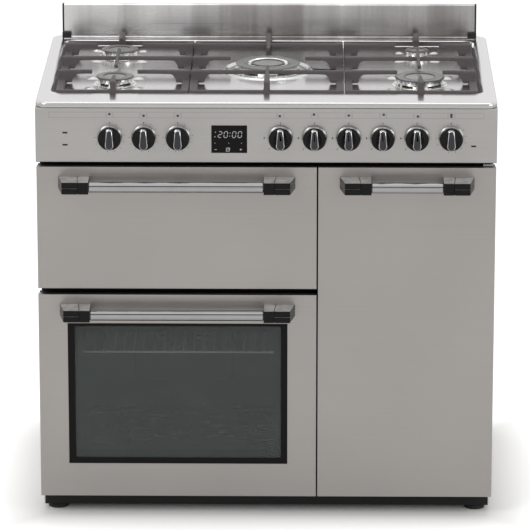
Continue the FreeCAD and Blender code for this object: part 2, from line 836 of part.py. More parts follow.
def hinge_places(door):
    """The X of each hinge arm of a drop-down door, and the side that its cheek is on."""
    return (door[0] + hinge_side, -1), (door[1] - hinge_side, 1)


def beside(x, side, near, far):
    """The lower and upper X of a piece from near to far on one side of x."""
    return min(x + side * near, x + side * far), max(x + side * near, x + side * far)


def drop_slots(door):
    """The ways that the fixed hinge arms need through a drop-down door."""
    half = hinge_arm_width / 2 + hinge_play
    reach = hinge_arm_half + touch_gap
    cuts = []
    for x, side in hinge_places(door):
        cuts.append(box(x - half, x + half, face + hinge_in - reach, face + door_thickness + 1,
                        door[2] - 1, door[2] + hinge_up + reach))
    return Part.makeCompound(cuts)


def door_panel(door, opening=None):
    """The outer steel skin with folded edges."""
    x0, x1, z0, z1 = door
    skin = pan(x0, x1, z0, z1, face, face + panel_return, sheet, fold_bevel)
    if opening:
        wx0, wx1, wz0, wz1 = opening
        skin = skin.cut(box(wx0, wx1, face - 1, face + sheet + 1, wz0, wz1))
    return skin


def liner_shell(door):
    """The inner pressing: walls that lap inside the skin, and a flat back."""
    x0, x1, z0, z1 = door
    front = face + panel_return - liner_lap
    back = face + door_thickness
    outer = box(x0 + sheet, x1 - sheet, front, back, z0 + sheet, z1 - sheet)
    edges = [e for e in outer.Edges if e.BoundBox.YMin > back - 0.01]
    outer = outer.makeChamfer(fold_bevel, edges)
    inner = box(x0 + 2 * sheet, x1 - 2 * sheet, front - 1, back - sheet, z0 + 2 * sheet, z1 - 2 * sheet)
    return outer.cut(inner)


def drop_liner(door, opening=None):
    """A liner with the cheeks that the hinge pins turn in."""
    x0, x1, z0, z1 = door
    near, far = hinge_arm_width / 2 + hinge_play, hinge_arm_width / 2 + hinge_play + hinge_cheek
    cheeks, holes = [], []
    for x, side in hinge_places(door):
        low, high = beside(x, side, near, far)
        cheeks.append(box(low, high, face + hinge_in - cheek_front, face + door_thickness - sheet,
                          z0 + 2 * sheet, z0 + hinge_up + cheek_top))
        holes.append(bore(vec(low - 1, face + hinge_in, z0 + hinge_up), X,
                          hinge_pin_radius + running_gap, hinge_cheek + 2))
    if opening:
        m = inner_glass_margin
        wx0, wx1, wz0, wz1 = opening
        back = face + door_thickness
        holes.append(box(wx0 + m, wx1 - m, back - sheet - 1, back + 1, wz0 + m, wz1 - m))
    return join([liner_shell(door)] + cheeks).cut(drop_slots(door)).cut(Part.makeCompound(holes))


def tall_liner():
    """The tall door's liner, with bored blocks for the upper and lower pin."""
    x = right_x1 - hinge_up
    y = face + hinge_in
    low, high = floor_gap + sheet, upper_top - sheet - tall_block
    blocks = [box(x - tall_block_reach, right_x1 - 2 * sheet, y - tall_block_half, y + tall_block_half,
                  z, z + tall_block) for z in (low, high)]
    holes = [bore(vec(x, y, z), Z, hinge_pin_radius + running_gap, tall_block + 2 * sheet)
             for z in (low - sheet, high - sheet)]
    return join([liner_shell(tall_door)] + blocks).cut(Part.makeCompound(holes))


def hinge_pin(centre, axis, length, first):
    """The first pin of a hinge line is truly round, and the other has flat sides."""
    if first:
        return rod(centre, axis, hinge_pin_radius, length)
    return disc(centre, axis, hinge_pin_radius, length, plain_sides)


def hinge_brackets():
    """The fixed halves of the hinges, with their pins."""
    made = []
    half = hinge_arm_width / 2
    for door in (grill_door, main_door):
        z = door[2] + hinge_up
        for x, side in hinge_places(door):
            blade = box(x - half, x + half, face + hinge_in - hinge_arm_half, shell_front + hinge_tail,
                        z - hinge_arm_half, z + hinge_arm_half)
            hook = box(x - half, x + half, shell_front + touch_gap, shell_front + hinge_tail,
                       z - hinge_arm_half - hinge_hook, z - hinge_arm_half)
            low, high = beside(x, side, half - 1, half + hinge_play + hinge_cheek)
            pin = hinge_pin(vec(low, face + hinge_in, z), X, high - low, side < 0)
            made.append(join([blade, hook, pin]))
    x = right_x1 - hinge_up
    y = face + hinge_in
    for z0, pin_z in ((floor_gap - hinge_play - hinge_plate, floor_gap - 2 * hinge_play),
                      (upper_top + hinge_play, upper_top - tall_pin_in)):
        plate = box(x - tall_plate_half, x + hinge_tail, y - hinge_tail, body_front, z0, z0 + hinge_plate)
        pin = hinge_pin(vec(x, y, pin_z), Z, tall_pin, pin_z < upper_bottom)
        made.append(join([plate, pin]))
    return made


def door_glass():
    """The outer pane behind the window and the inner pane in front of the liner."""
    wx0, wx1, wz0, wz1 = window
    outer = box(wx0 - glass_lap, wx1 + glass_lap, face + sheet, face + sheet + glass,
                wz0 - glass_lap, wz1 + glass_lap)
    m = inner_glass_margin - glass_lap
    back = face + door_thickness - sheet
    inner = box(wx0 + m, wx1 - m, back - glass, back, wz0 + m, wz1 - m)
    return [outer, inner]


def handle_span(door):
    return door[0] + handle_margin, door[1] - handle_margin, door[3] - handle_drop


def handle_bar(door):
    x0, x1, z = handle_span(door)
    y = face - handle_proud + bar_inset + bar_radius
    return disc(vec(x0 + block_length, y, z), X, bar_radius, x1 - x0 - 2 * block_length, fine_sides)


def handle_ends(door):
    """Two end blocks, wider at the door than at the front."""
    x0, x1, z = handle_span(door)
    front = face - handle_proud
    z0 = z - block_height / 2
    made = []
    for outer, inner, side in ((x0, x0 + block_length, -1), (x1, x1 - block_length, 1)):
        points = [(outer, front, z0), (inner, front, z0), (inner, face, z0),
                  (outer + side * block_flare, face, z0)]
        block = prism(points, Z * block_height)
        edges = [e for e in block.Edges if e.BoundBox.YMax < front + 0.01]
        made.append(block.makeChamfer(block_bevel, edges))
    return made


# ---- ovens ----

def cavity_shell(cavity, fan_at=None):
    """An enamelled box, open at the front, with a hole for the fan's shaft."""
    x0, x1, z0, z1 = cavity
    t = cavity_sheet
    outer = box(x0 - t, x1 + t, shell_front, cavity_back + t, z0 - t, z1 + t)
    shell = outer.cut(box(x0, x1, shell_front - 1, cavity_back, z0, z1))
    if fan_at:
        fx, fz = fan_at
        shell = shell.cut(bore(vec(fx, cavity_back - 1, fz), Y, fan_shaft_radius + hole_gap, t + 2))
    return shell


def cavity_middle(cavity):
    x0, x1, z0, z1 = cavity
    return (x0 + x1) / 2, (z0 + z1) / 2


def fan_cover(cavity):
    """The baffle in front of a fan: a shallow pressing with a grille and side outlets."""
    x, z = cavity_middle(cavity)
    front = cavity_back - cover_depth
    dish = pan(x - cover_half, x + cover_half, z - cover_half, z + cover_half, front, cavity_back,
               sheet, fold_bevel)
    cuts = []
    for i in range(grille_slots):
        slot_z = z + (i - (grille_slots - 1) / 2) * grille_pitch
        cuts.append(box(x - grille_slot / 2, x + grille_slot / 2, front - 1, front + 2 * sheet,
                        slot_z, slot_z + slot_height))
    outlet_y = front + cover_depth / 2
    cuts.append(box(x - cover_half - 1, x + cover_half + 1, outlet_y, outlet_y + slot_height,
                    z - outlet_slot, z + outlet_slot))
    return dish.cut(Part.makeCompound(cuts))


def fan(cavity):
    """A radial fan: hub, plate, straight blades and the shaft that the motor turns."""
    x, z = cavity_middle(cavity)
    plate_y = cavity_back - fan_clearance
    root = fan_hub_radius * 2
    parts = [disc(vec(x, plate_y - fan_blade, z), Y, fan_hub_radius, fan_blade + 1, hole_sides),
             disc(vec(x, plate_y, z), Y, fan_radius, fan_plate, plain_sides),
             rod(vec(x, plate_y, z), Y, fan_shaft_radius, fan_clearance + cavity_sheet + fan_shaft_reach)]
    for i in range(fan_blades):
        blade = box(x + root, x + root + fan_blade_length, plate_y - fan_blade, plate_y + 1,
                    z - fan_plate / 2, z + fan_plate / 2)
        blade.rotate(vec(x + root, 0, z), Y, fan_blade_turn)
        blade.rotate(vec(x, 0, z), Y, 360.0 * i / fan_blades)
        parts.append(blade)
    return join(parts)


def fan_motor(cavity):
    x, z = cavity_middle(cavity)
    back = cavity_back + cavity_sheet
    can = disc(vec(x, back, z), Y, motor_radius, motor_length, plain_sides)
    reach = motor_radius + motor_yoke
    yoke = box(x - reach, x + reach, back, back + motor_yoke_plate, z - motor_yoke, z + motor_yoke)
    hole = bore(vec(x, back - 1, z), Y, fan_shaft_radius + running_gap, fan_shaft_reach + 2)
    return join([can, yoke]).cut(hole)


def ring_element(cavity):
    """The heating ring round a fan, held by its two terminals."""
    x, z = cavity_middle(cavity)
    y = cavity_back - ring_clearance
    r = element_radius
    ring = disc(vec(x, y - r, z), Y, ring_radius + r, 2 * r, plain_sides)
    ring = ring.cut(disc(vec(x, y - r - 1, z), Y, ring_radius - r, 2 * r + 2, plain_sides))
    legs = [box(x + dx - r, x + dx + r, y, cavity_back, z + ring_radius - 2 * r, z + ring_radius)
            for dx in (-ring_terminal, ring_terminal)]
    return join([ring] + legs)


def grill_element():
    """The heater that winds to and fro under the roof of the grill oven, and its two hangers."""
    x0, x1, z0, z1 = grill_cavity
    z = z1 - ring_clearance
    r = element_radius
    y0, y1 = shell_front + grill_inset, cavity_back - grill_inset
    xs = [(x0 + x1) / 2 + (i - (grill_legs - 1) / 2) * grill_pitch for i in range(grill_legs)]
    runs = []
    for i, x in enumerate(xs):
        back = cavity_back if x in (xs[0], xs[-1]) else y1
        runs.append(box(x - r, x + r, y0, back, z - r, z + r))
    for i, (a, b) in enumerate(zip(xs, xs[1:])):
        y = y0 if i % 2 == 0 else y1 - 2 * r
        runs.append(box(a, b, y, y + 2 * r, z - r, z + r))
    hangers = [box(xs[0] - 2 * r, xs[-1] + 2 * r, y, y + sheet, z + r, z1)
               for y in (y0 + hanger_inset, y1 - hanger_inset)]
    return [join(runs)] + hangers


def oven_lamp(cavity, from_top):
    centre = vec(cavity[0] + lamp_from_side, cavity_back - lamp_depth, cavity[3] - from_top)
    return disc(centre, Y, lamp_radius, lamp_depth, plain_sides)


def rack(cavity, side, levels):
    """The ladder on one wall of an oven: two uprights with a runner at each level."""
    wall = cavity[0] if side < 0 else cavity[1]
    y0, y1 = shell_front + rack_front, cavity_back - cover_depth - rack_back
    parts = []
    for y in (y0 + upright_inset, y1 - upright_inset - rack_wire):
        low, high = beside(wall, -side, 0, rack_wire)
        parts.append(box(low, high, y, y + rack_wire, levels[0] - rack_end, levels[-1] + rack_end))
    for z in levels:
        low, high = beside(wall, -side, rack_wire, runner_reach)
        parts.append(box(low, high, y0, y1, z, z + runner_thick))
    return join(parts)


def wire_shelf(cavity, level):
    """A shelf of cross wires in a rim, lying on the racks' runners."""
    edge = runner_reach - wire
    a, b = cavity[0] + edge, cavity[1] - edge
    z = level + runner_thick + touch_gap
    y0, y1 = shell_front + shelf_front, cavity_back - cover_depth - shelf_front
    parts = [box(x, x + wire, y0, y1, z, z + wire) for x in (a, b - wire)]
    parts += [box(a, b, y, y + wire, z, z + wire) for y in (y0, y1 - wire)]
    count = int((b - a) / wire_pitch)
    first = (a + b) / 2 - (count - 1) * wire_pitch / 2
    for i in range(count):
        x = first + i * wire_pitch
        parts.append(box(x - thin_wire / 2, x + thin_wire / 2, y0 + wire, y1 - wire,
                         z + (wire - thin_wire) / 2, z + (wire + thin_wire) / 2))
    return join(parts)


def grill_pan():
    """A shallow enamelled pan whose rim lies on the grill oven's racks."""
    level = grill_levels[0] + runner_thick + touch_gap
    edge = runner_reach + pan_side
    a, b = grill_cavity[0] + edge, grill_cavity[1] - edge
    y0, y1 = shell_front + pan_front, cavity_back - pan_back
    body = cornered(a, b, y0, y1, level - pan_depth, level + pan_wall, pan_corner)
    lip = cornered(a - pan_rim, b + pan_rim, y0 - pan_rim, y1 + pan_rim, level, level + pan_wall, pan_corner)
    hollow = cornered(a + pan_wall, b - pan_wall, y0 + pan_wall, y1 - pan_wall,
                      level - pan_depth + pan_wall, level + 2 * pan_wall, pan_corner - pan_wall)
    return join([body, lip]).cut(hollow)


def door_seal(cavity, open_below=False):
    """The seal round an oven's mouth, on the front frame.

    The grill oven's has no lower band, because the edge of its door sweeps through there.
    """
    x0, x1, z0, z1 = cavity
    a, b = seal_offset, seal_offset + seal_width
    y0, y1 = body_front - seal_gap + touch_gap, body_front
    outer = box(x0 - b, x1 + b, y0, y1, z0 - b, z1 + b)
    outer = outer.makeChamfer(seal_width, [e for e in outer.Edges if e.BoundBox.YLength > 1])
    cuts = [box(x0 - a, x1 + a, y0 - 1, y1 + 1, z0 - a, z1 + a)]
    if open_below:
        cuts.append(box(x0 - b - 1, x1 + b + 1, y0 - 1, y1 + 1, z0 - b - 1, z0 - a))
    for cut in cuts:
        outer = outer.cut(cut)
    return outer


def write_all():
    os.makedirs("parts", exist_ok=True)
    right_side = side_panel()
    save("side_panels", right_side, mirror_x(right_side))
    save("back_panel", back_panel(), terminal_box())
    save("chassis_rails", *chassis_rails())
    save("front_frame", front_frame())
    save("plinth", plinth())
    save("feet", *feet())
    save("hob_top", hob_top())
    save("upstand", upstand())
    save("upstand_brackets", *upstand_brackets())
    save("control_panel", control_panel())
    save("clock_display", clock_display())
    save("lamp_lenses", *indicator_lenses(), oven_lamp(main_cavity, lamp_from_top),
         oven_lamp(grill_cavity, grill_lamp_from_top), oven_lamp(tall_cavity, lamp_from_top))
    save("gas_rail", *gas_rail())
    save("oven_switches", *oven_switches())

    cups = [burner_cup(*b) for b in burners] + [burner_cup(0, middle_row, wok_cap)]
    pins = [spark_pin(*b) for b in burners] + [spark_pin(0, middle_row, wok_cap)]
    save("burner_cups", *cups, *pins)
    crowns = [burner_crown(*b) for b in burners]
    crowns += [burner_crown(0, middle_row, wok_cap), wok_spider()]
    save("burner_crowns", *crowns)
    caps = [burner_cap(*b) for b in burners]
    caps += [burner_cap(0, middle_row, wok_cap, wok_cap_hole), burner_cap(0, middle_row, wok_inner_cap)]
    save("burner_caps", *caps)
    edge = recess_x - recess_depth - frame_side_gap
    half_gap = support_gap / 2
    save("pan_support_left",
         pan_support(-edge, -support_split - half_gap, -column, burner_reach, False))
    save("pan_support_centre",
         pan_support(-support_split + half_gap, support_split - half_gap, 0.0, wok_reach, True))
    save("pan_support_right",
         pan_support(support_split + half_gap, edge, column, burner_reach, False))

    for name, cavity in cavities.items():
        save(name, cavity_shell(cavity, None if name == "grill_cavity" else cavity_middle(cavity)))
    save("oven_elements", *grill_element(), ring_element(main_cavity), ring_element(tall_cavity))
    save("fan_covers", fan_cover(main_cavity), fan_cover(tall_cavity))
    save("fan_motors", fan_motor(main_cavity), fan_motor(tall_cavity))
    save("main_fan", fan(main_cavity))
    save("tall_fan", fan(tall_cavity))
    racks = [rack(cavity, side, levels) for side in (-1, 1)
             for cavity, levels in ((main_cavity, main_levels), (tall_cavity, tall_levels),
                                    (grill_cavity, grill_levels))]
    save("shelf_racks", *racks)
    save("oven_shelves", wire_shelf(main_cavity, main_levels[-1]),
         wire_shelf(tall_cavity, tall_levels[1]), wire_shelf(tall_cavity, tall_levels[3]))
    save("grill_pan", grill_pan())
    save("door_seals", door_seal(main_cavity), door_seal(grill_cavity, True), door_seal(tall_cavity))
    save("hinge_brackets", *hinge_brackets())

    save("grill_door_panel", door_panel(grill_door))
    save("grill_door_liner", drop_liner(grill_door))
    save("main_door_panel", door_panel(main_door, window))
    save("main_door_liner", drop_liner(main_door, window))
    save("main_door_glass", *door_glass())
    save("tall_door_panel", door_panel(tall_door))
    save("tall_door_liner", tall_liner())
    for name, door in (("grill", grill_door), ("main", main_door), ("tall", tall_door)):
        save(name + "_door_handle", handle_bar(door))
        save(name + "_handle_ends", *handle_ends(door))

    for i, x in enumerate(gas_knobs, 1):
        save("tap_stem_" + str(i), tap_stem(x))
        save("gas_knob_" + str(i), gas_knob(x))
    for i, x in enumerate(oven_knobs, 1):
        save("oven_knob_" + str(i), oven_knob(x))


write_all()
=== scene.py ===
import bpy
import bmesh
import math
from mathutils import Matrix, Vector


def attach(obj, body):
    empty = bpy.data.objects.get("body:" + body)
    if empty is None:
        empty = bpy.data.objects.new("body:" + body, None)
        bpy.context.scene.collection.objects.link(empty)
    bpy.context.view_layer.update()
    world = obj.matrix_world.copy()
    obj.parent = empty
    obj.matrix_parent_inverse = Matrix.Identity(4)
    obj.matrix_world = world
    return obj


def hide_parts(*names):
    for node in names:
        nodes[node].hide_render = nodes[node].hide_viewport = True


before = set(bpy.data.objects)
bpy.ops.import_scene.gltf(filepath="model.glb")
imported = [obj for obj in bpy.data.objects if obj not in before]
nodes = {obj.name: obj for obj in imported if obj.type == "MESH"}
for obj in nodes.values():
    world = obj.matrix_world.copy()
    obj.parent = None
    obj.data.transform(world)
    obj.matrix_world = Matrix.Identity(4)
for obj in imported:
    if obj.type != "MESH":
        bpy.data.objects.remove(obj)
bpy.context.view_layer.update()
scene = bpy.context.scene
scene.view_settings.view_transform = "Standard"
mm = 0.001
print("frame loaded:", len(nodes), "nodes")

# places shared by several pieces, in millimetres; the front faces -Y
place = {
    "face": -275.0, "rear": 325.0, "halfWidth": 450.0,
    "hobTop": 850.0, "deck": 842.0, "supportTop": 870.0,
    "column": 303.0, "frontRow": -80.0, "middleRow": 40.0, "rearRow": 160.0, "knobZ": 780.0,
}


# effects that several materials share

def newGroup(name, inputs, outputs):
    tree = bpy.data.node_groups.new(name, "ShaderNodeTree")
    for label, kind, value in inputs:
        socket = tree.interface.new_socket(name=label, in_out="INPUT", socket_type=kind)
        socket.default_value = value
    for label, kind in outputs:
        tree.interface.new_socket(name=label, in_out="OUTPUT", socket_type=kind)
    return tree, tree.nodes.new("NodeGroupInput"), tree.nodes.new("NodeGroupOutput")


def noiseIn(tree, vector, scale, detail=3.0, rough=0.5):
    node = tree.nodes.new("ShaderNodeTexNoise")
    node.inputs["Detail"].default_value = detail
    node.inputs["Roughness"].default_value = rough
    if isinstance(scale, (int, float)):
        node.inputs["Scale"].default_value = scale
    else:
        tree.links.new(scale, node.inputs["Scale"])
    tree.links.new(vector, node.inputs["Vector"])
    return node.outputs["Fac"]


def rangeOf(tree, value, low, high, toLow, toHigh):
    node = tree.nodes.new("ShaderNodeMapRange")
    for label, number in (("From Min", low), ("From Max", high), ("To Min", toLow), ("To Max", toHigh)):
        if isinstance(number, (int, float)):
            node.inputs[label].default_value = number
        else:
            tree.links.new(number, node.inputs[label])
    tree.links.new(value, node.inputs["Value"])
    return node.outputs["Result"]


def calc(tree, how, a, b):
    node = tree.nodes.new("ShaderNodeMath")
    node.operation = how
    for i, x in enumerate((a, b)):
        if isinstance(x, (int, float)):
            node.inputs[i].default_value = x
        else:
            tree.links.new(x, node.inputs[i])
    return node.outputs[0]


def brushedGrain():
    # fine streaks along one axis, and slow clouds where the rolled sheet varies
    tree, given, made = newGroup("brushedGrain", [
        ("Stretch", "NodeSocketVector", (3.0, 900.0, 900.0)),
        ("Cloud Scale", "NodeSocketFloat", 5.0)],
        [("Streak", "NodeSocketFloat"), ("Cloud", "NodeSocketFloat")])
    coords = tree.nodes.new("ShaderNodeTexCoord")
    scale = tree.nodes.new("ShaderNodeVectorMath")
    scale.operation = "MULTIPLY"
    tree.links.new(coords.outputs["Object"], scale.inputs[0])
    tree.links.new(given.outputs["Stretch"], scale.inputs[1])
    tree.links.new(noiseIn(tree, scale.outputs[0], 1.0, 4.0, 0.65), made.inputs["Streak"])
    tree.links.new(noiseIn(tree, coords.outputs["Object"], given.outputs["Cloud Scale"], 2.0),
                   made.inputs["Cloud"])
    return tree


def speckle():
    # small bright and dark grains, as in enamel and in cast iron
    tree, given, made = newGroup("speckle", [("Scale", "NodeSocketFloat", 900.0)],
                                 [("Grain", "NodeSocketFloat"), ("Flecks", "NodeSocketFloat")])
    coords = tree.nodes.new("ShaderNodeTexCoord")
    fine = noiseIn(tree, coords.outputs["Object"], given.outputs["Scale"], 2.0)
    cells = tree.nodes.new("ShaderNodeTexVoronoi")
    tree.links.new(coords.outputs["Object"], cells.inputs["Vector"])
    tree.links.new(given.outputs["Scale"], cells.inputs["Scale"])
    flecks = rangeOf(tree, cells.outputs["Distance"], 0.12, 0.2, 1.0, 0.0)
    tree.links.new(fine, made.inputs["Grain"])
    tree.links.new(flecks, made.inputs["Flecks"])
    return tree


def handling():
    # faint smears and fingerprints as a mask from 0 to 1
    tree, given, made = newGroup("handling", [("Scale", "NodeSocketFloat", 14.0)],
                                 [("Smear", "NodeSocketFloat")])
    coords = tree.nodes.new("ShaderNodeTexCoord")
    broad = noiseIn(tree, coords.outputs["Object"], given.outputs["Scale"], 4.0, 0.6)
    tree.links.new(rangeOf(tree, broad, 0.42, 0.7, 0.0, 1.0), made.inputs["Smear"])
    return tree


groups = {"grain": brushedGrain(), "speckle": speckle(), "handling": handling()}


# materials, each with its own grain, smears or flecks

def blank(name):
    material = bpy.data.materials.new(name)
    material.use_nodes = True
    return material, material.node_tree, material.node_tree.nodes["Principled BSDF"]


def useGroup(tree, name, **values):
    node = tree.nodes.new("ShaderNodeGroup")
    node.node_tree = groups[name]
    for label, value in values.items():
        node.inputs[label.replace("_", " ")].default_value = value
    return node


def twoColours(tree, mask, low, high):
    mix = tree.nodes.new("ShaderNodeMix")
    mix.data_type = "RGBA"
    mix.inputs["A"].default_value = (*low, 1.0)
    mix.inputs["B"].default_value = (*high, 1.0)
    tree.links.new(mask, mix.inputs["Factor"])
    return mix.outputs["Result"]


def bumpFrom(tree, shader, height, strength, distance):
    bump = tree.nodes.new("ShaderNodeBump")
    bump.inputs["Strength"].default_value = strength
    bump.inputs["Distance"].default_value = distance
    tree.links.new(height, bump.inputs["Height"])
    tree.links.new(bump.outputs["Normal"], shader.inputs["Normal"])


def steel(name, colour, along="x", rough=0.34, spread=0.10, cloud=5.0, bump=0.12):
    material, tree, shader = blank(name)
    stretch = {"x": (3.0, 900.0, 900.0), "z": (900.0, 900.0, 3.0), "y": (900.0, 3.0, 900.0)}[along]
    grain = useGroup(tree, "grain", Stretch=stretch, Cloud_Scale=cloud)
    smear = useGroup(tree, "handling")
    tone = calc(tree, "ADD", calc(tree, "MULTIPLY", grain.outputs["Streak"], 0.55),
                calc(tree, "MULTIPLY", grain.outputs["Cloud"], 0.45))
    dark = tuple(c * (1 - spread) for c in colour)
    light = tuple(min(1.0, c * (1 + spread)) for c in colour)
    tree.links.new(twoColours(tree, rangeOf(tree, tone, 0.3, 0.7, 0.0, 1.0), dark, light),
                   shader.inputs["Base Color"])
    streaks = rangeOf(tree, grain.outputs["Streak"], 0.3, 0.7, rough - spread, rough + spread)
    smears = calc(tree, "MULTIPLY", smear.outputs["Smear"], spread / 2)
    tree.links.new(calc(tree, "ADD", streaks, smears), shader.inputs["Roughness"])
    shader.inputs["Metallic"].default_value = 1.0
    if bump:
        bumpFrom(tree, shader, grain.outputs["Streak"], bump, 0.0002)
    return material


def reflectionBandedSheet(name, dark, light, rough):
    # a steel sheet whose broad bands across its grain are painted reflection, painted lighter towards its left end
    # as a painted highlight
    material, tree, shader = blank(name)
    reflectionBands = useGroup(tree, "grain", Stretch=(11.0, 0.4, 0.4), Cloud_Scale=2.0)
    grain = useGroup(tree, "grain", Stretch=(3.0, 900.0, 900.0), Cloud_Scale=5.0)
    tone = calc(tree, "ADD", calc(tree, "MULTIPLY", reflectionBands.outputs["Streak"], 0.85),
                calc(tree, "MULTIPLY", grain.outputs["Streak"], 0.15))
    coords, split = tree.nodes.new("ShaderNodeTexCoord"), tree.nodes.new("ShaderNodeSeparateXYZ")
    tree.links.new(coords.outputs["Object"], split.inputs[0])
    # painted highlight: the colour is lighter towards the left end and a little darker towards the right
    tone = calc(tree, "ADD", tone, rangeOf(tree, split.outputs["X"], -0.43, 0.05, 0.22, -0.06))
    tree.links.new(twoColours(tree, rangeOf(tree, tone, 0.36, 0.72, 0.0, 1.0), dark, light),
                   shader.inputs["Base Color"])
    tree.links.new(rangeOf(tree, grain.outputs["Streak"], 0.3, 0.7, rough, rough + 0.08),
                   shader.inputs["Roughness"])
    shader.inputs["Metallic"].default_value = 1.0
    bumpFrom(tree, shader, grain.outputs["Streak"], 0.05, 0.0002)
    return material


def polished(name, colour, rough, smears=0.06):
    material, tree, shader = blank(name)
    smear = useGroup(tree, "handling", Scale=30.0)
    tree.links.new(twoColours(tree, smear.outputs["Smear"], colour, tuple(c * 0.93 for c in colour)),
                   shader.inputs["Base Color"])
    tree.links.new(rangeOf(tree, smear.outputs["Smear"], 0.0, 1.0, rough, rough + smears),
                   shader.inputs["Roughness"])
    shader.inputs["Metallic"].default_value = 1.0
    return material


def grained(name, colour, fleck, rough, scale=900.0, bump=0.2, depth=0.0003, specular=0.5, metal=0.0,
            reach=(0.35, 0.65)):
    material, tree, shader = blank(name)
    grain = useGroup(tree, "speckle", Scale=scale)
    smear = useGroup(tree, "handling", Scale=20.0)
    base = twoColours(tree, rangeOf(tree, grain.outputs["Grain"], reach[0], reach[1], 0.0, 1.0), colour, fleck)
    tree.links.new(base, shader.inputs["Base Color"])
    tree.links.new(rangeOf(tree, smear.outputs["Smear"], 0.0, 1.0, rough, min(1.0, rough + 0.12)),
                   shader.inputs["Roughness"])
    shader.inputs["Metallic"].default_value = metal
    shader.inputs["Specular IOR Level"].default_value = specular
    bumpFrom(tree, shader, grain.outputs["Grain"], bump, depth)
    return material


def enamel(name, colour, fleck, rough=0.22):
    material, tree, shader = blank(name)
    grain = useGroup(tree, "speckle", Scale=420.0)
    wavy = useGroup(tree, "handling", Scale=45.0)
    tree.links.new(twoColours(tree, grain.outputs["Flecks"], colour, fleck), shader.inputs["Base Color"])
    tree.links.new(rangeOf(tree, wavy.outputs["Smear"], 0.0, 1.0, rough, rough + 0.1),
                   shader.inputs["Roughness"])
    bumpFrom(tree, shader, wavy.outputs["Smear"], 0.02, 0.0003)
    return material


def clearGlass(name, colour, alpha, rough):
    material, tree, shader = blank(name)
    smear = useGroup(tree, "handling", Scale=9.0)
    tree.links.new(twoColours(tree, smear.outputs["Smear"], colour, tuple(c * 1.12 for c in colour)),
                   shader.inputs["Base Color"])
    tree.links.new(rangeOf(tree, smear.outputs["Smear"], 0.0, 1.0, rough, rough + 0.05),
                   shader.inputs["Roughness"])
    shader.inputs["Alpha"].default_value = alpha
    shader.inputs["IOR"].default_value = 1.5
    return material


def glowing(name, colour, strength):
    material, tree, shader = blank(name)
    grain = useGroup(tree, "speckle", Scale=2500.0)
    lit = twoColours(tree, grain.outputs["Grain"], tuple(c * 0.9 for c in colour), colour)
    tree.links.new(lit, shader.inputs["Emission Color"])
    tree.links.new(lit, shader.inputs["Base Color"])
    shader.inputs["Emission Strength"].default_value = strength
    shader.inputs["Roughness"].default_value = 0.4
    return material


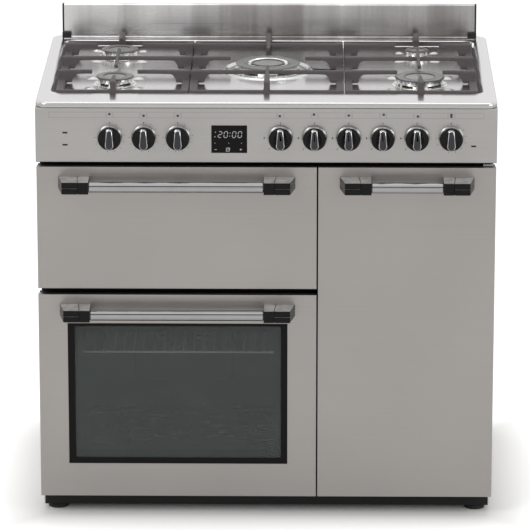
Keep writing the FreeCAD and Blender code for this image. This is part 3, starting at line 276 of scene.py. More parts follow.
looks = {
    "doorSteel": steel("doorSteel", (0.425, 0.402, 0.386), "x", 0.36, 0.06, 4.0),
    "panelSteel": steel("panelSteel", (0.490, 0.478, 0.466), "x", 0.34, 0.06, 5.0),
    "sideSteel": steel("sideSteel", (0.36, 0.35, 0.34), "z", 0.42, 0.07, 4.0),
    "hobSteel": steel("hobSteel", (0.67, 0.66, 0.66), "x", 0.2, 0.02, 7.0, 0.0),
    "upstandSteel": reflectionBandedSheet("upstandSteel", (0.44, 0.42, 0.41), (0.98, 0.975, 0.97), 0.16),
    "zinc": grained("zinc", (0.45, 0.46, 0.47), (0.53, 0.54, 0.55), 0.42, 60.0, 0.05, 0.0002, 0.5, 0.85),
    "enamelDark": enamel("enamelDark", (0.055, 0.058, 0.060), (0.18, 0.19, 0.19)),
    "enamelPan": enamel("enamelPan", (0.012, 0.012, 0.014), (0.09, 0.09, 0.1)),
    "paintBlack": grained("paintBlack", (0.009, 0.009, 0.009), (0.014, 0.014, 0.014), 0.5, 1500.0, 0.1, 0.0003,
                          0.25),
    "plasticBlack": grained("plasticBlack", (0.011, 0.011, 0.011), (0.02, 0.02, 0.02), 0.55, 1800.0, 0.25, 0.0003,
                            0.3),
    "glossBlack": grained("glossBlack", (0.007, 0.007, 0.007), (0.011, 0.010, 0.010), 0.14, 700.0, 0.02, 0.0001,
                          0.12),
    "knobBlack": grained("knobBlack", (0.005, 0.005, 0.005), (0.009, 0.008, 0.009), 0.12, 900.0, 0.02, 0.0001,
                         0.18),
    # lighter grey for the handle blocks' top facets: a painted reflection of the lights above
    "paintedTopReflection": grained("paintedTopReflection", (0.30, 0.296, 0.290), (0.46, 0.455, 0.448), 0.1, 45.0, 0.0, 0.0001, 0.9),
    "graphite": grained("graphite", (0.026, 0.027, 0.031), (0.045, 0.046, 0.051), 0.3, 1200.0, 0.1, 0.0002, 0.4,
                        0.3),
    "chrome": polished("chrome", (0.62, 0.623, 0.626), 0.05, 0.02),
    # a darker copy of the chrome for the handle bars, painted darker to shade their reflections
    "barChromeShaded": polished("barChromeShaded", (0.44, 0.442, 0.445), 0.03, 0.015),
    "wireChrome": grained("wireChrome", (0.80, 0.80, 0.80), (0.88, 0.88, 0.88), 0.28, 400.0, 0.0, 0.0001, 0.5,
                          0.4),
    "crownAlloy": grained("crownAlloy", (0.76, 0.755, 0.745), (0.88, 0.875, 0.865), 0.2, 500.0, 0.06, 0.0002, 0.5,
                          1.0),
    # the burner caps' enamel in three tones: a dark copy paints shade on the rolled edge and the step into the
    # dish, and a lighter copy paints light on the dish floor
    "capEnamel": grained("capEnamel", (0.10, 0.099, 0.099), (0.15, 0.148, 0.148), 0.26, 800.0, 0.08, 0.0002, 0.6),
    "capDishPaintedLight": grained("capDishPaintedLight", (0.20, 0.199, 0.199), (0.27, 0.268, 0.268), 0.28, 800.0, 0.08, 0.0002, 0.6),
    "capRimPaintedShade": grained("capRimPaintedShade", (0.035, 0.034, 0.034), (0.055, 0.053, 0.053), 0.3, 800.0, 0.08, 0.0002, 0.5),
    "castIron": grained("castIron", (0.064, 0.055, 0.058), (0.120, 0.104, 0.110), 0.55, 700.0, 0.45, 0.0006, 0.35),
    "elementSteel": grained("elementSteel", (0.09, 0.085, 0.08), (0.2, 0.18, 0.16), 0.45, 300.0, 0.2, 0.0003, 0.5,
                            0.9),
    "brass": polished("brass", (0.62, 0.47, 0.22), 0.24, 0.15),
    "seal": grained("seal", (0.03, 0.03, 0.03), (0.07, 0.068, 0.065), 0.8, 1600.0, 0.5, 0.0006, 0.3),
    "switchCream": grained("switchCream", (0.5, 0.46, 0.38), (0.58, 0.54, 0.45), 0.5, 900.0, 0.1),
    "ceramic": grained("ceramic", (0.72, 0.7, 0.65), (0.8, 0.78, 0.74), 0.35, 600.0, 0.05),
    "clockGlass": grained("clockGlass", (0.006, 0.005, 0.005), (0.009, 0.008, 0.008), 0.08, 300.0, 0.0, 0.0001,
                          0.1),
    "frit": grained("frit", (0.005, 0.0045, 0.0045), (0.007, 0.006, 0.006), 0.14, 500.0, 0.01, 0.0001, 0.12),
    "print": grained("print", (0.03, 0.028, 0.026), (0.05, 0.048, 0.045), 0.5, 2000.0, 0.0),
    "faintPrint": grained("faintPrint", (0.17, 0.162, 0.152), (0.21, 0.20, 0.19), 0.5, 2000.0, 0.0),
    "digits": glowing("digits", (0.34, 0.36, 0.37), 0.5),
    "ovenGlass": clearGlass("ovenGlass", (0.088, 0.104, 0.100), 0.30, 0.05),
    "innerGlass": clearGlass("innerGlass", (0.08, 0.09, 0.088), 0.09, 0.05),
    "lampGlass": clearGlass("lampGlass", (0.5, 0.47, 0.38), 0.7, 0.1),
    "lensDark": grained("lensDark", (0.022, 0.018, 0.016), (0.032, 0.027, 0.024), 0.2, 900.0, 0.0, 0.0001, 0.3),
}
print("materials:", len(looks))


# mesh helpers; all their sizes are in millimetres

def piece(name, verts, faces, materials, body="root", slotName=None, stands=(), faceSlots=None,
          smooth=True, angle=40.0):
    # verts in millimetres; faceSlots gives each face its material's place in materials
    mesh = bpy.data.meshes.new(name)
    mesh.from_pydata([tuple(c * mm for c in v) for v in verts], [], faces)
    mesh.validate()
    thing = bpy.data.objects.new(name, mesh)
    scene.collection.objects.link(thing)
    for label in materials:
        mesh.materials.append(looks[label])
    if faceSlots:
        for polygon, i in zip(mesh.polygons, faceSlots):
            polygon.material_index = i
    if smooth:
        mesh.shade_smooth()
        mesh.set_sharp_from_angle(angle=math.radians(angle))
    if body:
        hold(thing, body, stands)
    return thing


def hold(thing, body, stands=()):
    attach(thing, body)
    if stands:
        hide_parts(*stands)
    return thing


def soften(thing, width, segments=3, limit=35.0):
    # rounds the edges and keeps the flats flat; the result is a plain mesh
    bevel = thing.modifiers.new("edges", "BEVEL")
    bevel.width = width * mm
    bevel.segments = segments
    bevel.limit_method = "ANGLE"
    bevel.angle_limit = math.radians(limit)
    bevel.harden_normals = True
    bevel.use_clamp_overlap = True
    bake(thing)
    return thing


def bake(thing):
    depsgraph = bpy.context.evaluated_depsgraph_get()
    depsgraph.update()
    made = bpy.data.meshes.new_from_object(thing.evaluated_get(depsgraph))
    thing.modifiers.clear()
    thing.data = made
    return thing


def about(centre, axis):
    # turns (across, across, along) into a place round an axis through centre
    x, y, z = centre
    return {"z": lambda a, b, c: (x + a, y + b, z + c), "y": lambda a, b, c: (x + b, y + c, z + a),
            "x": lambda a, b, c: (x + c, y + a, z + b)}[axis]


class Parts:
    # gathers lists of points and faces, so that one piece may hold many simple shapes
    def __init__(self):
        self.verts, self.faces, self.slots = [], [], []

    def add(self, verts, faces, slotIndex=0):
        base = len(self.verts)
        self.verts += [tuple(v) for v in verts]
        self.faces += [tuple(i + base for i in f) for f in faces]
        self.slots += [slotIndex] * len(faces)
        return self

    def box(self, x0, x1, y0, y1, z0, z1, slotIndex=0):
        v = [(x, y, z) for z in (z0, z1) for y in (y0, y1) for x in (x0, x1)]
        f = [(0, 2, 3, 1), (4, 5, 7, 6), (0, 1, 5, 4), (2, 6, 7, 3), (0, 4, 6, 2), (1, 3, 7, 5)]
        return self.add(v, f, slotIndex)

    def prism(self, outline, low, high, axis="z", slotIndex=0):
        # outline runs anticlockwise as seen from the axis's positive end
        n, to = len(outline), about((0, 0, 0), axis)
        v = [to(a, b, c) for c in (low, high) for a, b in outline]
        f = [tuple(reversed(range(n))), tuple(range(n, 2 * n))]
        f += [(i, (i + 1) % n, n + (i + 1) % n, n + i) for i in range(n)]
        return self.add(v, f, slotIndex)

    def circles(self, profile, centre, axis, sides):
        # one row of points for each (radius, height)
        base, to = len(self.verts), about(centre, axis)
        for radius, height in profile:
            for i in range(sides):
                turn = 2 * math.pi * i / sides
                self.verts.append(to(radius * math.cos(turn), radius * math.sin(turn), height))
        return base

    def strip(self, low, high, n, slotIndex=0):
        # faces between two rows of n points that start at low and at high
        for i in range(n):
            j = (i + 1) % n
            self.faces.append((low + i, low + j, high + j, high + i))
            self.slots.append(slotIndex)

    def cap(self, start, n, slotIndex=0, reverse=False):
        spots = range(start, start + n)
        self.faces.append(tuple(reversed(spots) if reverse else spots))
        self.slots.append(slotIndex)

    def turned(self, profile, centre, axis="z", sides=48, slotIndex=0, slotsByRow=None):
        # profile is (radius, height) from the start pole to the end pole, closed at both ends
        base, last = self.circles(profile, centre, axis, sides), len(profile) - 1
        slots = slotsByRow or [slotIndex] * last
        for r in range(last):
            self.strip(base + r * sides, base + (r + 1) * sides, sides, slots[r])
        self.cap(base, sides, slots[0], True)
        self.cap(base + last * sides, sides, slots[-1])
        return self

    def ring(self, profile, centre, axis="z", sides=48, slotIndex=0):
        # profile is a closed loop of (radius, height)
        base, rows = self.circles(profile, centre, axis, sides), len(profile)
        for r in range(rows):
            self.strip(base + r * sides, base + (r + 1) % rows * sides, sides, slotIndex)
        return self

    def wire(self, path, radius, closed=False, sides=10, slotIndex=0):
        # a round wire along the points of path
        points = [Vector(p) for p in path]
        count = len(points)
        base = len(self.verts)
        side = None
        for i, p in enumerate(points):
            before = points[i - 1] if (i or closed) else p
            after = points[(i + 1) % count] if (i + 1 < count or closed) else p
            along = (after - before).normalized()
            if side is None:
                side = along.orthogonal().normalized()
            side = (side - along * side.dot(along)).normalized()
            across = along.cross(side)
            for k in range(sides):
                turn = 2 * math.pi * k / sides
                self.verts.append(tuple(p + radius * (side * math.cos(turn) + across * math.sin(turn))))
        for i in range(count if closed else count - 1):
            self.strip(base + i * sides, base + (i + 1) % count * sides, sides, slotIndex)
        if not closed:
            self.cap(base, sides, slotIndex, True)
            self.cap(base + (count - 1) * sides, sides, slotIndex)
        return self

    def finish(self, name, materials, **rest):
        return piece(name, self.verts, self.faces, materials, faceSlots=self.slots, **rest)


def roundedRect(x0, x1, y0, y1, radius, steps=6):
    # anticlockwise from the right end of the lower side
    points = []
    for cx, cy, start in ((x1 - radius, y0 + radius, -90), (x1 - radius, y1 - radius, 0),
                          (x0 + radius, y1 - radius, 90), (x0 + radius, y0 + radius, 180)):
        for i in range(steps + 1):
            turn = math.radians(start + 90.0 * i / steps)
            points.append((cx + radius * math.cos(turn), cy + radius * math.sin(turn)))
    return points


def eased(points, radius, steps=6):
    # a line of points with its corners rounded
    made = [tuple(points[0])]
    for before, here, after in zip(points, points[1:], points[2:]):
        a, b, c = Vector(before), Vector(here), Vector(after)
        start, end = b + (a - b).normalized() * radius, b + (c - b).normalized() * radius
        for i in range(steps + 1):
            t = i / steps
            made.append(tuple(start.lerp(b, t).lerp(b.lerp(end, t), t)))
    return made + [tuple(points[-1])]


def cutAway(thing, cutters, overlapping=False):
    for cutter in cutters:
        cut = thing.modifiers.new("cut", "BOOLEAN")
        cut.operation = "DIFFERENCE"
        cut.solver = "EXACT"
        cut.use_self = overlapping
        cut.object = cutter
    bake(thing)
    for cutter in cutters:
        bpy.data.objects.remove(cutter)
    return thing


def faceOut(thing):
    # makes every face point outwards after mirrored or turned shapes
    bm = bmesh.new()
    bm.from_mesh(thing.data)
    bmesh.ops.remove_doubles(bm, verts=bm.verts, dist=1e-6)
    bmesh.ops.recalc_face_normals(bm, faces=bm.faces)
    bm.to_mesh(thing.data)
    bm.free()
    return thing


# copies of one shape, round a centre or in a row

def copiesTree(name, byTurn):
    # copies the given mesh round a centre, or along a line
    tree = bpy.data.node_groups.new(name, "GeometryNodeTree")
    face = tree.interface
    face.new_socket(name="Geometry", in_out="INPUT", socket_type="NodeSocketGeometry")
    face.new_socket(name="Count", in_out="INPUT", socket_type="NodeSocketInt")
    face.new_socket(name="Step", in_out="INPUT", socket_type="NodeSocketVector")
    face.new_socket(name="Start", in_out="INPUT", socket_type="NodeSocketVector")
    face.new_socket(name="Centre", in_out="INPUT", socket_type="NodeSocketVector")
    face.new_socket(name="Finish", in_out="INPUT", socket_type="NodeSocketMaterial")
    face.new_socket(name="Geometry", in_out="OUTPUT", socket_type="NodeSocketGeometry")
    new, link = tree.nodes.new, tree.links.new
    given, made = new("NodeGroupInput"), new("NodeGroupOutput")
    spots = new("GeometryNodePoints")
    link(given.outputs["Count"], spots.inputs["Count"])
    index = new("GeometryNodeInputIndex")
    step = new("ShaderNodeVectorMath")
    step.operation = "SCALE"
    link(given.outputs["Step"], step.inputs[0])
    link(index.outputs[0], step.inputs["Scale"])
    total = new("ShaderNodeVectorMath")
    total.operation = "ADD"
    link(step.outputs[0], total.inputs[0])
    link(given.outputs["Start"], total.inputs[1])
    put = new("GeometryNodeInstanceOnPoints")
    if byTurn:
        link(given.outputs["Centre"], spots.inputs["Position"])
        link(total.outputs[0], put.inputs["Rotation"])
    else:
        spot = new("ShaderNodeVectorMath")
        spot.operation = "ADD"
        link(total.outputs[0], spot.inputs[0])
        link(given.outputs["Centre"], spot.inputs[1])
        link(spot.outputs[0], spots.inputs["Position"])
    link(spots.outputs[0], put.inputs["Points"])
    link(given.outputs["Geometry"], put.inputs["Instance"])
    real = new("GeometryNodeRealizeInstances")
    link(put.outputs[0], real.inputs[0])
    coat = new("GeometryNodeSetMaterial")
    link(real.outputs[0], coat.inputs["Geometry"])
    link(given.outputs["Finish"], coat.inputs["Material"])
    link(coat.outputs[0], made.inputs[0])
    return tree


trees = {"round": copiesTree("copiesRound", True), "row": copiesTree("copiesInRow", False)}


def repeat(thing, how, count, step, start=(0, 0, 0), centre=(0, 0, 0)):
    # thing's mesh lies about the origin; step is degrees for "round" and millimetres for "row"
    tree = trees[how]
    modifier = thing.modifiers.new("copies", "NODES")
    modifier.node_group = tree
    scale = math.radians(1.0) if how == "round" else mm
    values = {"Count": count, "Step": [c * scale for c in step], "Start": [c * scale for c in start],
              "Centre": [c * mm for c in centre], "Finish": thing.data.materials[0]}
    for item in tree.interface.items_tree:
        if item.item_type == "SOCKET" and item.in_out == "INPUT" and item.name in values:
            modifier[item.identifier] = values[item.name]
    return bake(thing)


def merged(name, things, body, stands=()):
    # several meshes of one body as one piece
    bm = bmesh.new()
    materials = []
    for thing in things:
        start = len(bm.faces)
        bm.from_mesh(thing.data)
        bm.faces.ensure_lookup_table()
        for face in bm.faces[start:]:
            label = thing.data.materials[face.material_index]
            if label not in materials:
                materials.append(label)
            face.material_index = materials.index(label)
    mesh = bpy.data.meshes.new(name)
    bm.to_mesh(mesh)
    bm.free()
    for label in materials:
        mesh.materials.append(label)
    for thing in things:
        bpy.data.objects.remove(thing)
    made = bpy.data.objects.new(name, mesh)
    scene.collection.objects.link(made)
    return hold(made, body, stands)


# the hob's pressed top, its upstand and its burners

hob = {"rimCorner": 22.0, "nose": 5.0, "rimHeight": 10.0, "recessX": 425.0, "recessFront": -195.0,
       "recessRear": 275.0, "recessCorner": 26.0, "slope": 9.0, "pitch": 3.3,
       "longSteps": 250, "shortSteps": 140, "cornerSteps": 8, "hemX": 0.9967, "hemY": 0.995, "hemUp": 8.0,
       "wokRing": 87.0, "wokRise": 3.4, "lozengeRise": 3.2, "fade": 14.0}
burners = {  # x, y, cap radius
    "leftFront": (-place["column"], place["frontRow"], 37.5),
    "leftRear": (-place["column"], place["rearRow"], 37.5),
    "rightFront": (place["column"], place["frontRow"], 49.5),
    "rightRear": (place["column"], place["rearRow"], 24.0), "wok": (0.0, place["middleRow"], 65.0)}


def smoothStep(value, low, high):
    t = max(0.0, min(1.0, (value - low) / (high - low)))
    return t * t * (3 - 2 * t)


def deckHeight(x, y):
    # four raised lozenges round each side burner, and a raised ring round the wok burner
    rise = 0.0
    for name, (bx, by, cap) in burners.items():
        dx, dy = x - bx, y - by
        away = math.hypot(dx, dy)
        if name == "wok":
            rise = max(rise, hob["wokRise"] * (1 - smoothStep(abs(away - hob["wokRing"]), 2.0, 7.0)))
        elif cap + 7.0 < away < cap + 47.0:
            turn = math.atan2(dy, dx)
            off = min(abs((turn - math.pi / 4 - k * math.pi / 2 + math.pi) % (2 * math.pi) - math.pi)
                      for k in range(4)) * away
            along = abs((away - cap - 27.0) / 20.0)
            rise = max(rise, hob["lozengeRise"] * smoothStep(1 - along - off / 17.0, 0.0, 0.85))
    return rise


def hobTop():
    # loops from under the rim, over the rolled nose, down the slope and in over the deck
    x, y0, y1 = place["halfWidth"], place["face"], place["rear"]
    top, nose = place["hobTop"], hob["nose"]
    rings = [(0.0, top - hob["rimHeight"])]
    for i in range(7):
        turn = math.radians(90.0 * i / 6)
        rings.append((nose * (1 - math.cos(turn)), top - nose + nose * math.sin(turn)))

    def outline(inset, z):
        # even steps along the sides, so that every loop has as many points
        radius = max(hob["rimCorner"] - inset, 3.0)
        return walk(-x + inset, x - inset, y0 + inset, y1 - inset, radius, z)

    def walk(xa, xb, ya, yb, radius, z):
        n = hob["cornerSteps"]
        corners, points = roundedRect(xa, xb, ya, yb, radius, n), []
        for k in range(4):
            points += corners[k * (n + 1):(k + 1) * (n + 1)]
            (ax, ay), (bx, by) = points[-1], corners[(k + 1) * (n + 1) % len(corners)]
            count = hob["longSteps"] if k % 2 else hob["shortSteps"]
            points += [(ax + (bx - ax) * i / count, ay + (by - ay) * i / count) for i in range(1, count)]
        return [(px, py, z) for px, py in points]

    loops = [outline(inset, z) for inset, z in rings]
    rx, ra, rb = hob["recessX"], hob["recessFront"], hob["recessRear"]
    for i in range(3):  # across the flat of the rim
        t = (i + 1) / 4
        a = outline(nose, top)
        b = walk(-rx - 2, rx + 2, ra - 2, rb + 2, hob["recessCorner"] + 2, top)
        loops.append([tuple(p + (q - p) * t for p, q in zip(u, v)) for u, v in zip(a, b)])
    deck = place["deck"]
    for i in range(9):  # the rounded shoulder and the slope down to the deck
        t = i / 8
        inset = -2 + (hob["slope"] + 3) * t
        drop = (top - deck) * smoothStep(t, 0.0, 1.0)
        loops.append(walk(-rx + inset, rx - inset, ra + inset, rb - inset, hob["recessCorner"] - inset * 0.6,
                          top - drop))
    start = hob["slope"] + 1
    middle = (rb - ra) / 2 - 1.0
    count = int((middle - start) / hob["pitch"])
    for i in range(1, count + 1):
        inset = start + (middle - start) * i / count
        radius = max(hob["recessCorner"] - inset * 0.6, 1.0)
        flat = walk(-rx + inset, rx - inset, ra + inset, rb - inset, min(radius, middle - inset + 1.0), deck)
        fade = smoothStep(inset, start, start + hob["fade"])
        loops.append([(px, py, deck + fade * deckHeight(px, py)) for px, py, _ in flat])
    n, parts = len(loops[0]), Parts()
    parts.verts = [p for loop in loops for p in loop]
    for r in range(len(loops) - 1):
        parts.strip(r * n, (r + 1) * n, n)
    parts.cap((len(loops) - 1) * n, n)
    thing = parts.finish("hobPressing", ["hobSteel"], slotName="hob_steel", stands=["hob_top"], angle=60.0)
    bm = bmesh.new()
    bm.from_mesh(thing.data)
    bmesh.ops.remove_doubles(bm, verts=bm.verts, dist=1e-5)
    # an inner skin under the rim closes the sheet's edge
    edge = [e for e in bm.edges if e.is_boundary]
    grown = bmesh.ops.extrude_edge_only(bm, edges=edge)
    middleY = (y0 + y1) / 2 * mm
    for v in grown["geom"]:
        if isinstance(v, bmesh.types.BMVert):
            v.co.x *= hob["hemX"]
            v.co.y = middleY + (v.co.y - middleY) * hob["hemY"]
    grown = bmesh.ops.extrude_edge_only(bm, edges=[e for e in bm.edges if e.is_boundary])
    for v in grown["geom"]:
        if isinstance(v, bmesh.types.BMVert):
            v.co.z += hob["hemUp"] * mm
    bm.normal_update()
    bm.to_mesh(thing.data)
    bm.free()
    thing.data.shade_smooth()
    thing.data.set_sharp_from_angle(angle=math.radians(60.0))
    return thing


hobTop()

upstand = {"x": 429.0, "front": 300.0, "back": 315.0, "foot": 287.0, "bottom": 850.0, "top": 920.0,
           "sheet": 1.5, "radius": 2.5, "cap": 3.6}


def upstandStrip():
    # the folded strip is an outline in Y and Z drawn out along X, with dark end caps
    u = upstand
    y0, y1, z0, z1, r, s = u["front"], u["back"], u["bottom"], u["top"], u["radius"], u["sheet"]

    def bend(cy, cz, radius, start, end):
        return [(cy + radius * math.cos(math.radians(start + (end - start) * i / 5)),
                 cz + radius * math.sin(math.radians(start + (end - start) * i / 5))) for i in range(6)]

    outline = [(u["foot"], z0 + s), (u["foot"], z0), (y0 + s, z0)]
    outline += bend(y0 + r, z1 - r, r - s, 180, 90) + bend(y1 - r, z1 - r, r - s, 90, 0)
    outline += [(y1 - s, z0), (y1, z0)]
    outline += bend(y1 - r, z1 - r, r, 0, 90) + bend(y0 + r, z1 - r, r, 90, 180)
    outline += bend(y0 - r * 0.8, z0 + s + r * 0.8, r * 0.8, 0, -90)
    parts = Parts().prism(outline, -u["x"] + u["cap"], u["x"] - u["cap"], "x")
    strip = faceOut(parts.finish("upstandStrip", ["upstandSteel"], body=None, angle=30.0))
    strip.data.shade_smooth()
    strip.data.set_sharp_from_angle(angle=math.radians(30.0))
    hold(strip, "root", ["upstand"])
    ends = Parts()
    cap = [(y0, z0 + s), (y1, z0 + s), (y1, z1 - 1), (y1 - 1, z1), (y0 + 1, z1), (y0, z1 - 1)]
    for side in (-1, 1):
        a, b = sorted((side * (u["x"] - u["cap"]), side * u["x"]))
        ends.prism(cap, a, b, "x")
    ends.finish("upstandEnds", ["plasticBlack"], slotName="black_plastic")


upstandStrip()


cornerBlock = {"x": (411.0, 429.0), "y": (287.0, 300.0), "z": (851.5, 863.5)}


def cornerBlocks():
    parts = Parts()
    for side in (-1, 1):
        a, b = sorted(side * x for x in cornerBlock["x"])
        parts.prism(roundedRect(a, b, *cornerBlock["y"], 2.0, 3), *cornerBlock["z"])
    thing = soften(parts.finish("cornerBlocks", ["plasticBlack"], body=None), 1.4)
    hold(thing, "root", ["upstand_brackets"])


cornerBlocks()


burner = {"up": 2.5, "flange": 8.0, "well": 22.0, "crown": 11.2, "capFoot": 11.0, "capTop": 14.0,
          "portPitch": 8.0, "portHalf": 0.5, "wokHole": 41.0, "innerCap": 34.0, "innerCrown": 31.0,
          "innerHollow": 18.0, "pinOut": 4.0}


def burnerSet():
    # spreaders with ports, caps with rolled edges, and the flanges under them; thin black slabs in the ports and
    # air slots are painted shade
    flanges, crowns, caps, slots, ports = Parts(), Parts(), Parts(), Parts(), []
    deck = place["deck"]
    sheetUp = deck + burner["up"]

    def flangeAt(x, y, cap):
        r = cap + burner["flange"]
        flanges.turned([(cap - 3.2, deck - burner["well"]), (cap - 3.2, deck), (r - 2.6, deck),
                        (r - 2.0, deck + 0.5), (r - 2.8, deck + 1.0), (cap + 1.5, deck + 1.5),
                        (cap - 1.0, deck + 0.6), (cap - 4.0, deck + 0.6)], (x, y, 0.0), sides=72)

    def crownAt(x, y, radius, hollow):
        h0, h1 = sheetUp, sheetUp + burner["crown"]
        loop = [(hollow, deck + 0.6), (radius - 1.6, deck + 0.6), (radius - 1.6, h0 + 1.6), (radius, h0 + 2.6),
                (radius, h1 - 0.5), (radius - 0.5, h1), (hollow, h1)]
        crowns.ring(loop, (x, y, 0.0), sides=72)
        if radius > 20.0:  # black slabs under the crown paint the shade in its air slots
            for k in range(4):
                turns = [math.radians(45 + 90 * k + d) for d in (-26, -13, 0, 13, 26)]
                arc = [(radius - 1.2, t) for t in turns] + [(radius - 4.0, t) for t in reversed(turns)]
                slots.prism([(x + r * math.cos(t), y + r * math.sin(t)) for r, t in arc], deck + 0.8, h0 + 1.5)
        # each port is a thin black slab on the crown's wall, painted shade where the port opens
        count = max(16, int(2 * math.pi * radius / burner["portPitch"]))
        half = burner["portHalf"]
        port = Parts().prism([(-half, h1 - 3.8), (half, h1 - 3.8), (half, h1 - 0.6), (-half, h1 - 0.6)],
                             radius - 1.0, radius + 0.12, "x")
        slot = port.finish("port", ["paintBlack"], body=None, smooth=False)
        ports.append(repeat(slot, "round", count, (0, 0, 360.0 / count), centre=(x, y, 0.0)))

    def capAt(x, y, radius, hole=0.0):
        z0, z1 = sheetUp + burner["capFoot"], sheetUp + burner["capTop"]
        edge = [(radius - 1.4, z0), (radius - 0.2, z0 + 0.5), (radius, z0 + 1.2), (radius - 0.7, z0 + 2.1),
                (radius - 2.4, z0 + 2.7), (radius - 3.6, z1)]
        if hole:
            caps.ring([(hole, z0)] + edge + [(hole + 3.0, z1 - 0.1), (hole + 0.6, z1 - 1.0), (hole, z1 - 2.0)],
                      (x, y, 0.0), sides=96)
            return
        inner = radius * (0.86 if radius == burner["innerCap"] else 0.6)
        top = [(inner + 1.2, z1), (inner + 0.3, z1 - 0.5), (inner - 0.6, z1 - 2.0), (inner * 0.5, z1 - 1.8),
               (1.0, z1 - 1.6)]
        # the rolled edge and the step into the dish take the dark copy as painted shade, and the dish floor takes
        # the lighter copy as painted light
        caps.turned([(1.0, z0)] + edge + top, (x, y, 0.0), sides=72,
                    slotsByRow=[1, 1, 1, 1, 1, 0, 0, 0, 1, 2, 2, 2])

    for name, (x, y, cap) in burners.items():
        flangeAt(x, y, cap)
        crownAt(x, y, cap - 3.0, cap - 9.0)
        capAt(x, y, cap, burner["wokHole"] if name == "wok" else 0.0)
    x, y, cap = burners["wok"]
    crownAt(x, y, burner["innerCrown"], burner["innerHollow"])
    capAt(x, y, burner["innerCap"])
    crowns.turned([(3.0, sheetUp), (40.0, sheetUp), (52.0, sheetUp + 1.2), (54.0, sheetUp + 2.4),
                   (40.0, sheetUp + 3.0), (3.0, sheetUp + 3.0)], (x, y, 0.0), sides=72)
    flanges.finish("burnerFlanges", ["crownAlloy"], slotName="burner_alloy", stands=["burner_cups"])
    crowns.ring([(34.8, sheetUp + 9.0), (36.0, sheetUp + 8.6), (40.9, sheetUp + 12.6), (40.4, sheetUp + 13.4)],
                (x, y, 0.0), sides=72)
    crownPiece = crowns.finish("burnerCrowns", ["crownAlloy"], body=None)
    ports.append(faceOut(slots.finish("airSlotShade", ["paintBlack"], body=None, smooth=False)))
    merged("burnerCrownsPorted", [crownPiece] + ports, "root", ["burner_crowns"])
    caps.finish("burnerCaps", ["capEnamel", "capRimPaintedShade", "capDishPaintedLight"], slotName="cap_enamel", stands=["burner_caps"])
    sparks = Parts()
    for name, (bx, by, cap) in burners.items():
        r = (cap + burner["pinOut"]) * math.sqrt(0.5)
        sparks.turned([(2.3, sheetUp - 4), (2.3, sheetUp + 5.0), (1.2, sheetUp + 5.4), (0.8, sheetUp + 5.5),
                       (0.8, sheetUp + 8.0), (0.3, sheetUp + 8.3)], (bx - r, by - r, 0.0), sides=16)
    sparks.finish("sparkPins", ["ceramic"], slotName="burner_alloy")


burnerSet()
print("hob and burners made")


# cast-iron pan supports

iron = {"railUp": 3.0, "railHeight": 7.0, "rail": 8.0, "side": 15.0, "postLength": 27.0, "postHalf": 6.2,
        "tipHalf": 3.3, "tipHeight": 8.0, "arch": 13.0, "springing": 4.0, "inset": 14.0, "padIn": 24.0,
        "frameUp": 1.2, "overlap": 6.0, "voxel": 1.2, "smoothing": 4, "kept": 0.4}


def castArm(parts, along, across, start, end):
    # a thick foot, an arch under it and a slender tip, as one strip of sections
    sign = 1.0 if end > start else -1.0
    low, top = place["deck"] + iron["railUp"], place["supportTop"]
    length = abs(end - start)
    sections = []
    spans = [0.0, 3.0, iron["postLength"] - 4.0, iron["postLength"]]
    spans += [iron["postLength"] + (length - iron["postLength"]) * t
              for t in (0.015, 0.03, 0.05, 0.075, 0.1, 0.13, 0.18, 0.25, 0.5, 1.0)]
    for s in spans:
        if s <= iron["postLength"]:
            under, half = low, iron["postHalf"]
        else:
            t = (s - iron["postLength"]) / (length - iron["postLength"])
            arch = 1 - (1 - min(1.0, (s - iron["postLength"]) / iron["arch"])) ** 2.4
            under = low + iron["springing"] + (top - iron["tipHeight"] - low - iron["springing"]) * arch
            half = iron["postHalf"] + (iron["tipHalf"] - iron["postHalf"]) * min(1.0, t * 1.25)
        sections.append((start + sign * s, half, under))
    verts = []
    for s, half, under in sections:
        crown = top - 0.4
        ring = [(-half, under), (half, under), (half * 0.92, crown - 1.2), (half * 0.5, top), (-half * 0.5, top),
                (-half * 0.92, crown - 1.2)]
        for t, z in ring:
            verts.append((s, across + t, z) if along == "x" else (across + t, s, z))
    n = 6
    faces = [tuple(range(n)), tuple((len(sections) - 1) * n + i for i in reversed(range(n)))]
    for r in range(len(sections) - 1):
        for i in range(n):
            j = (i + 1) % n
            faces.append((r * n + i, (r + 1) * n + i, (r + 1) * n + j, r * n + j))
    parts.add(verts, faces)


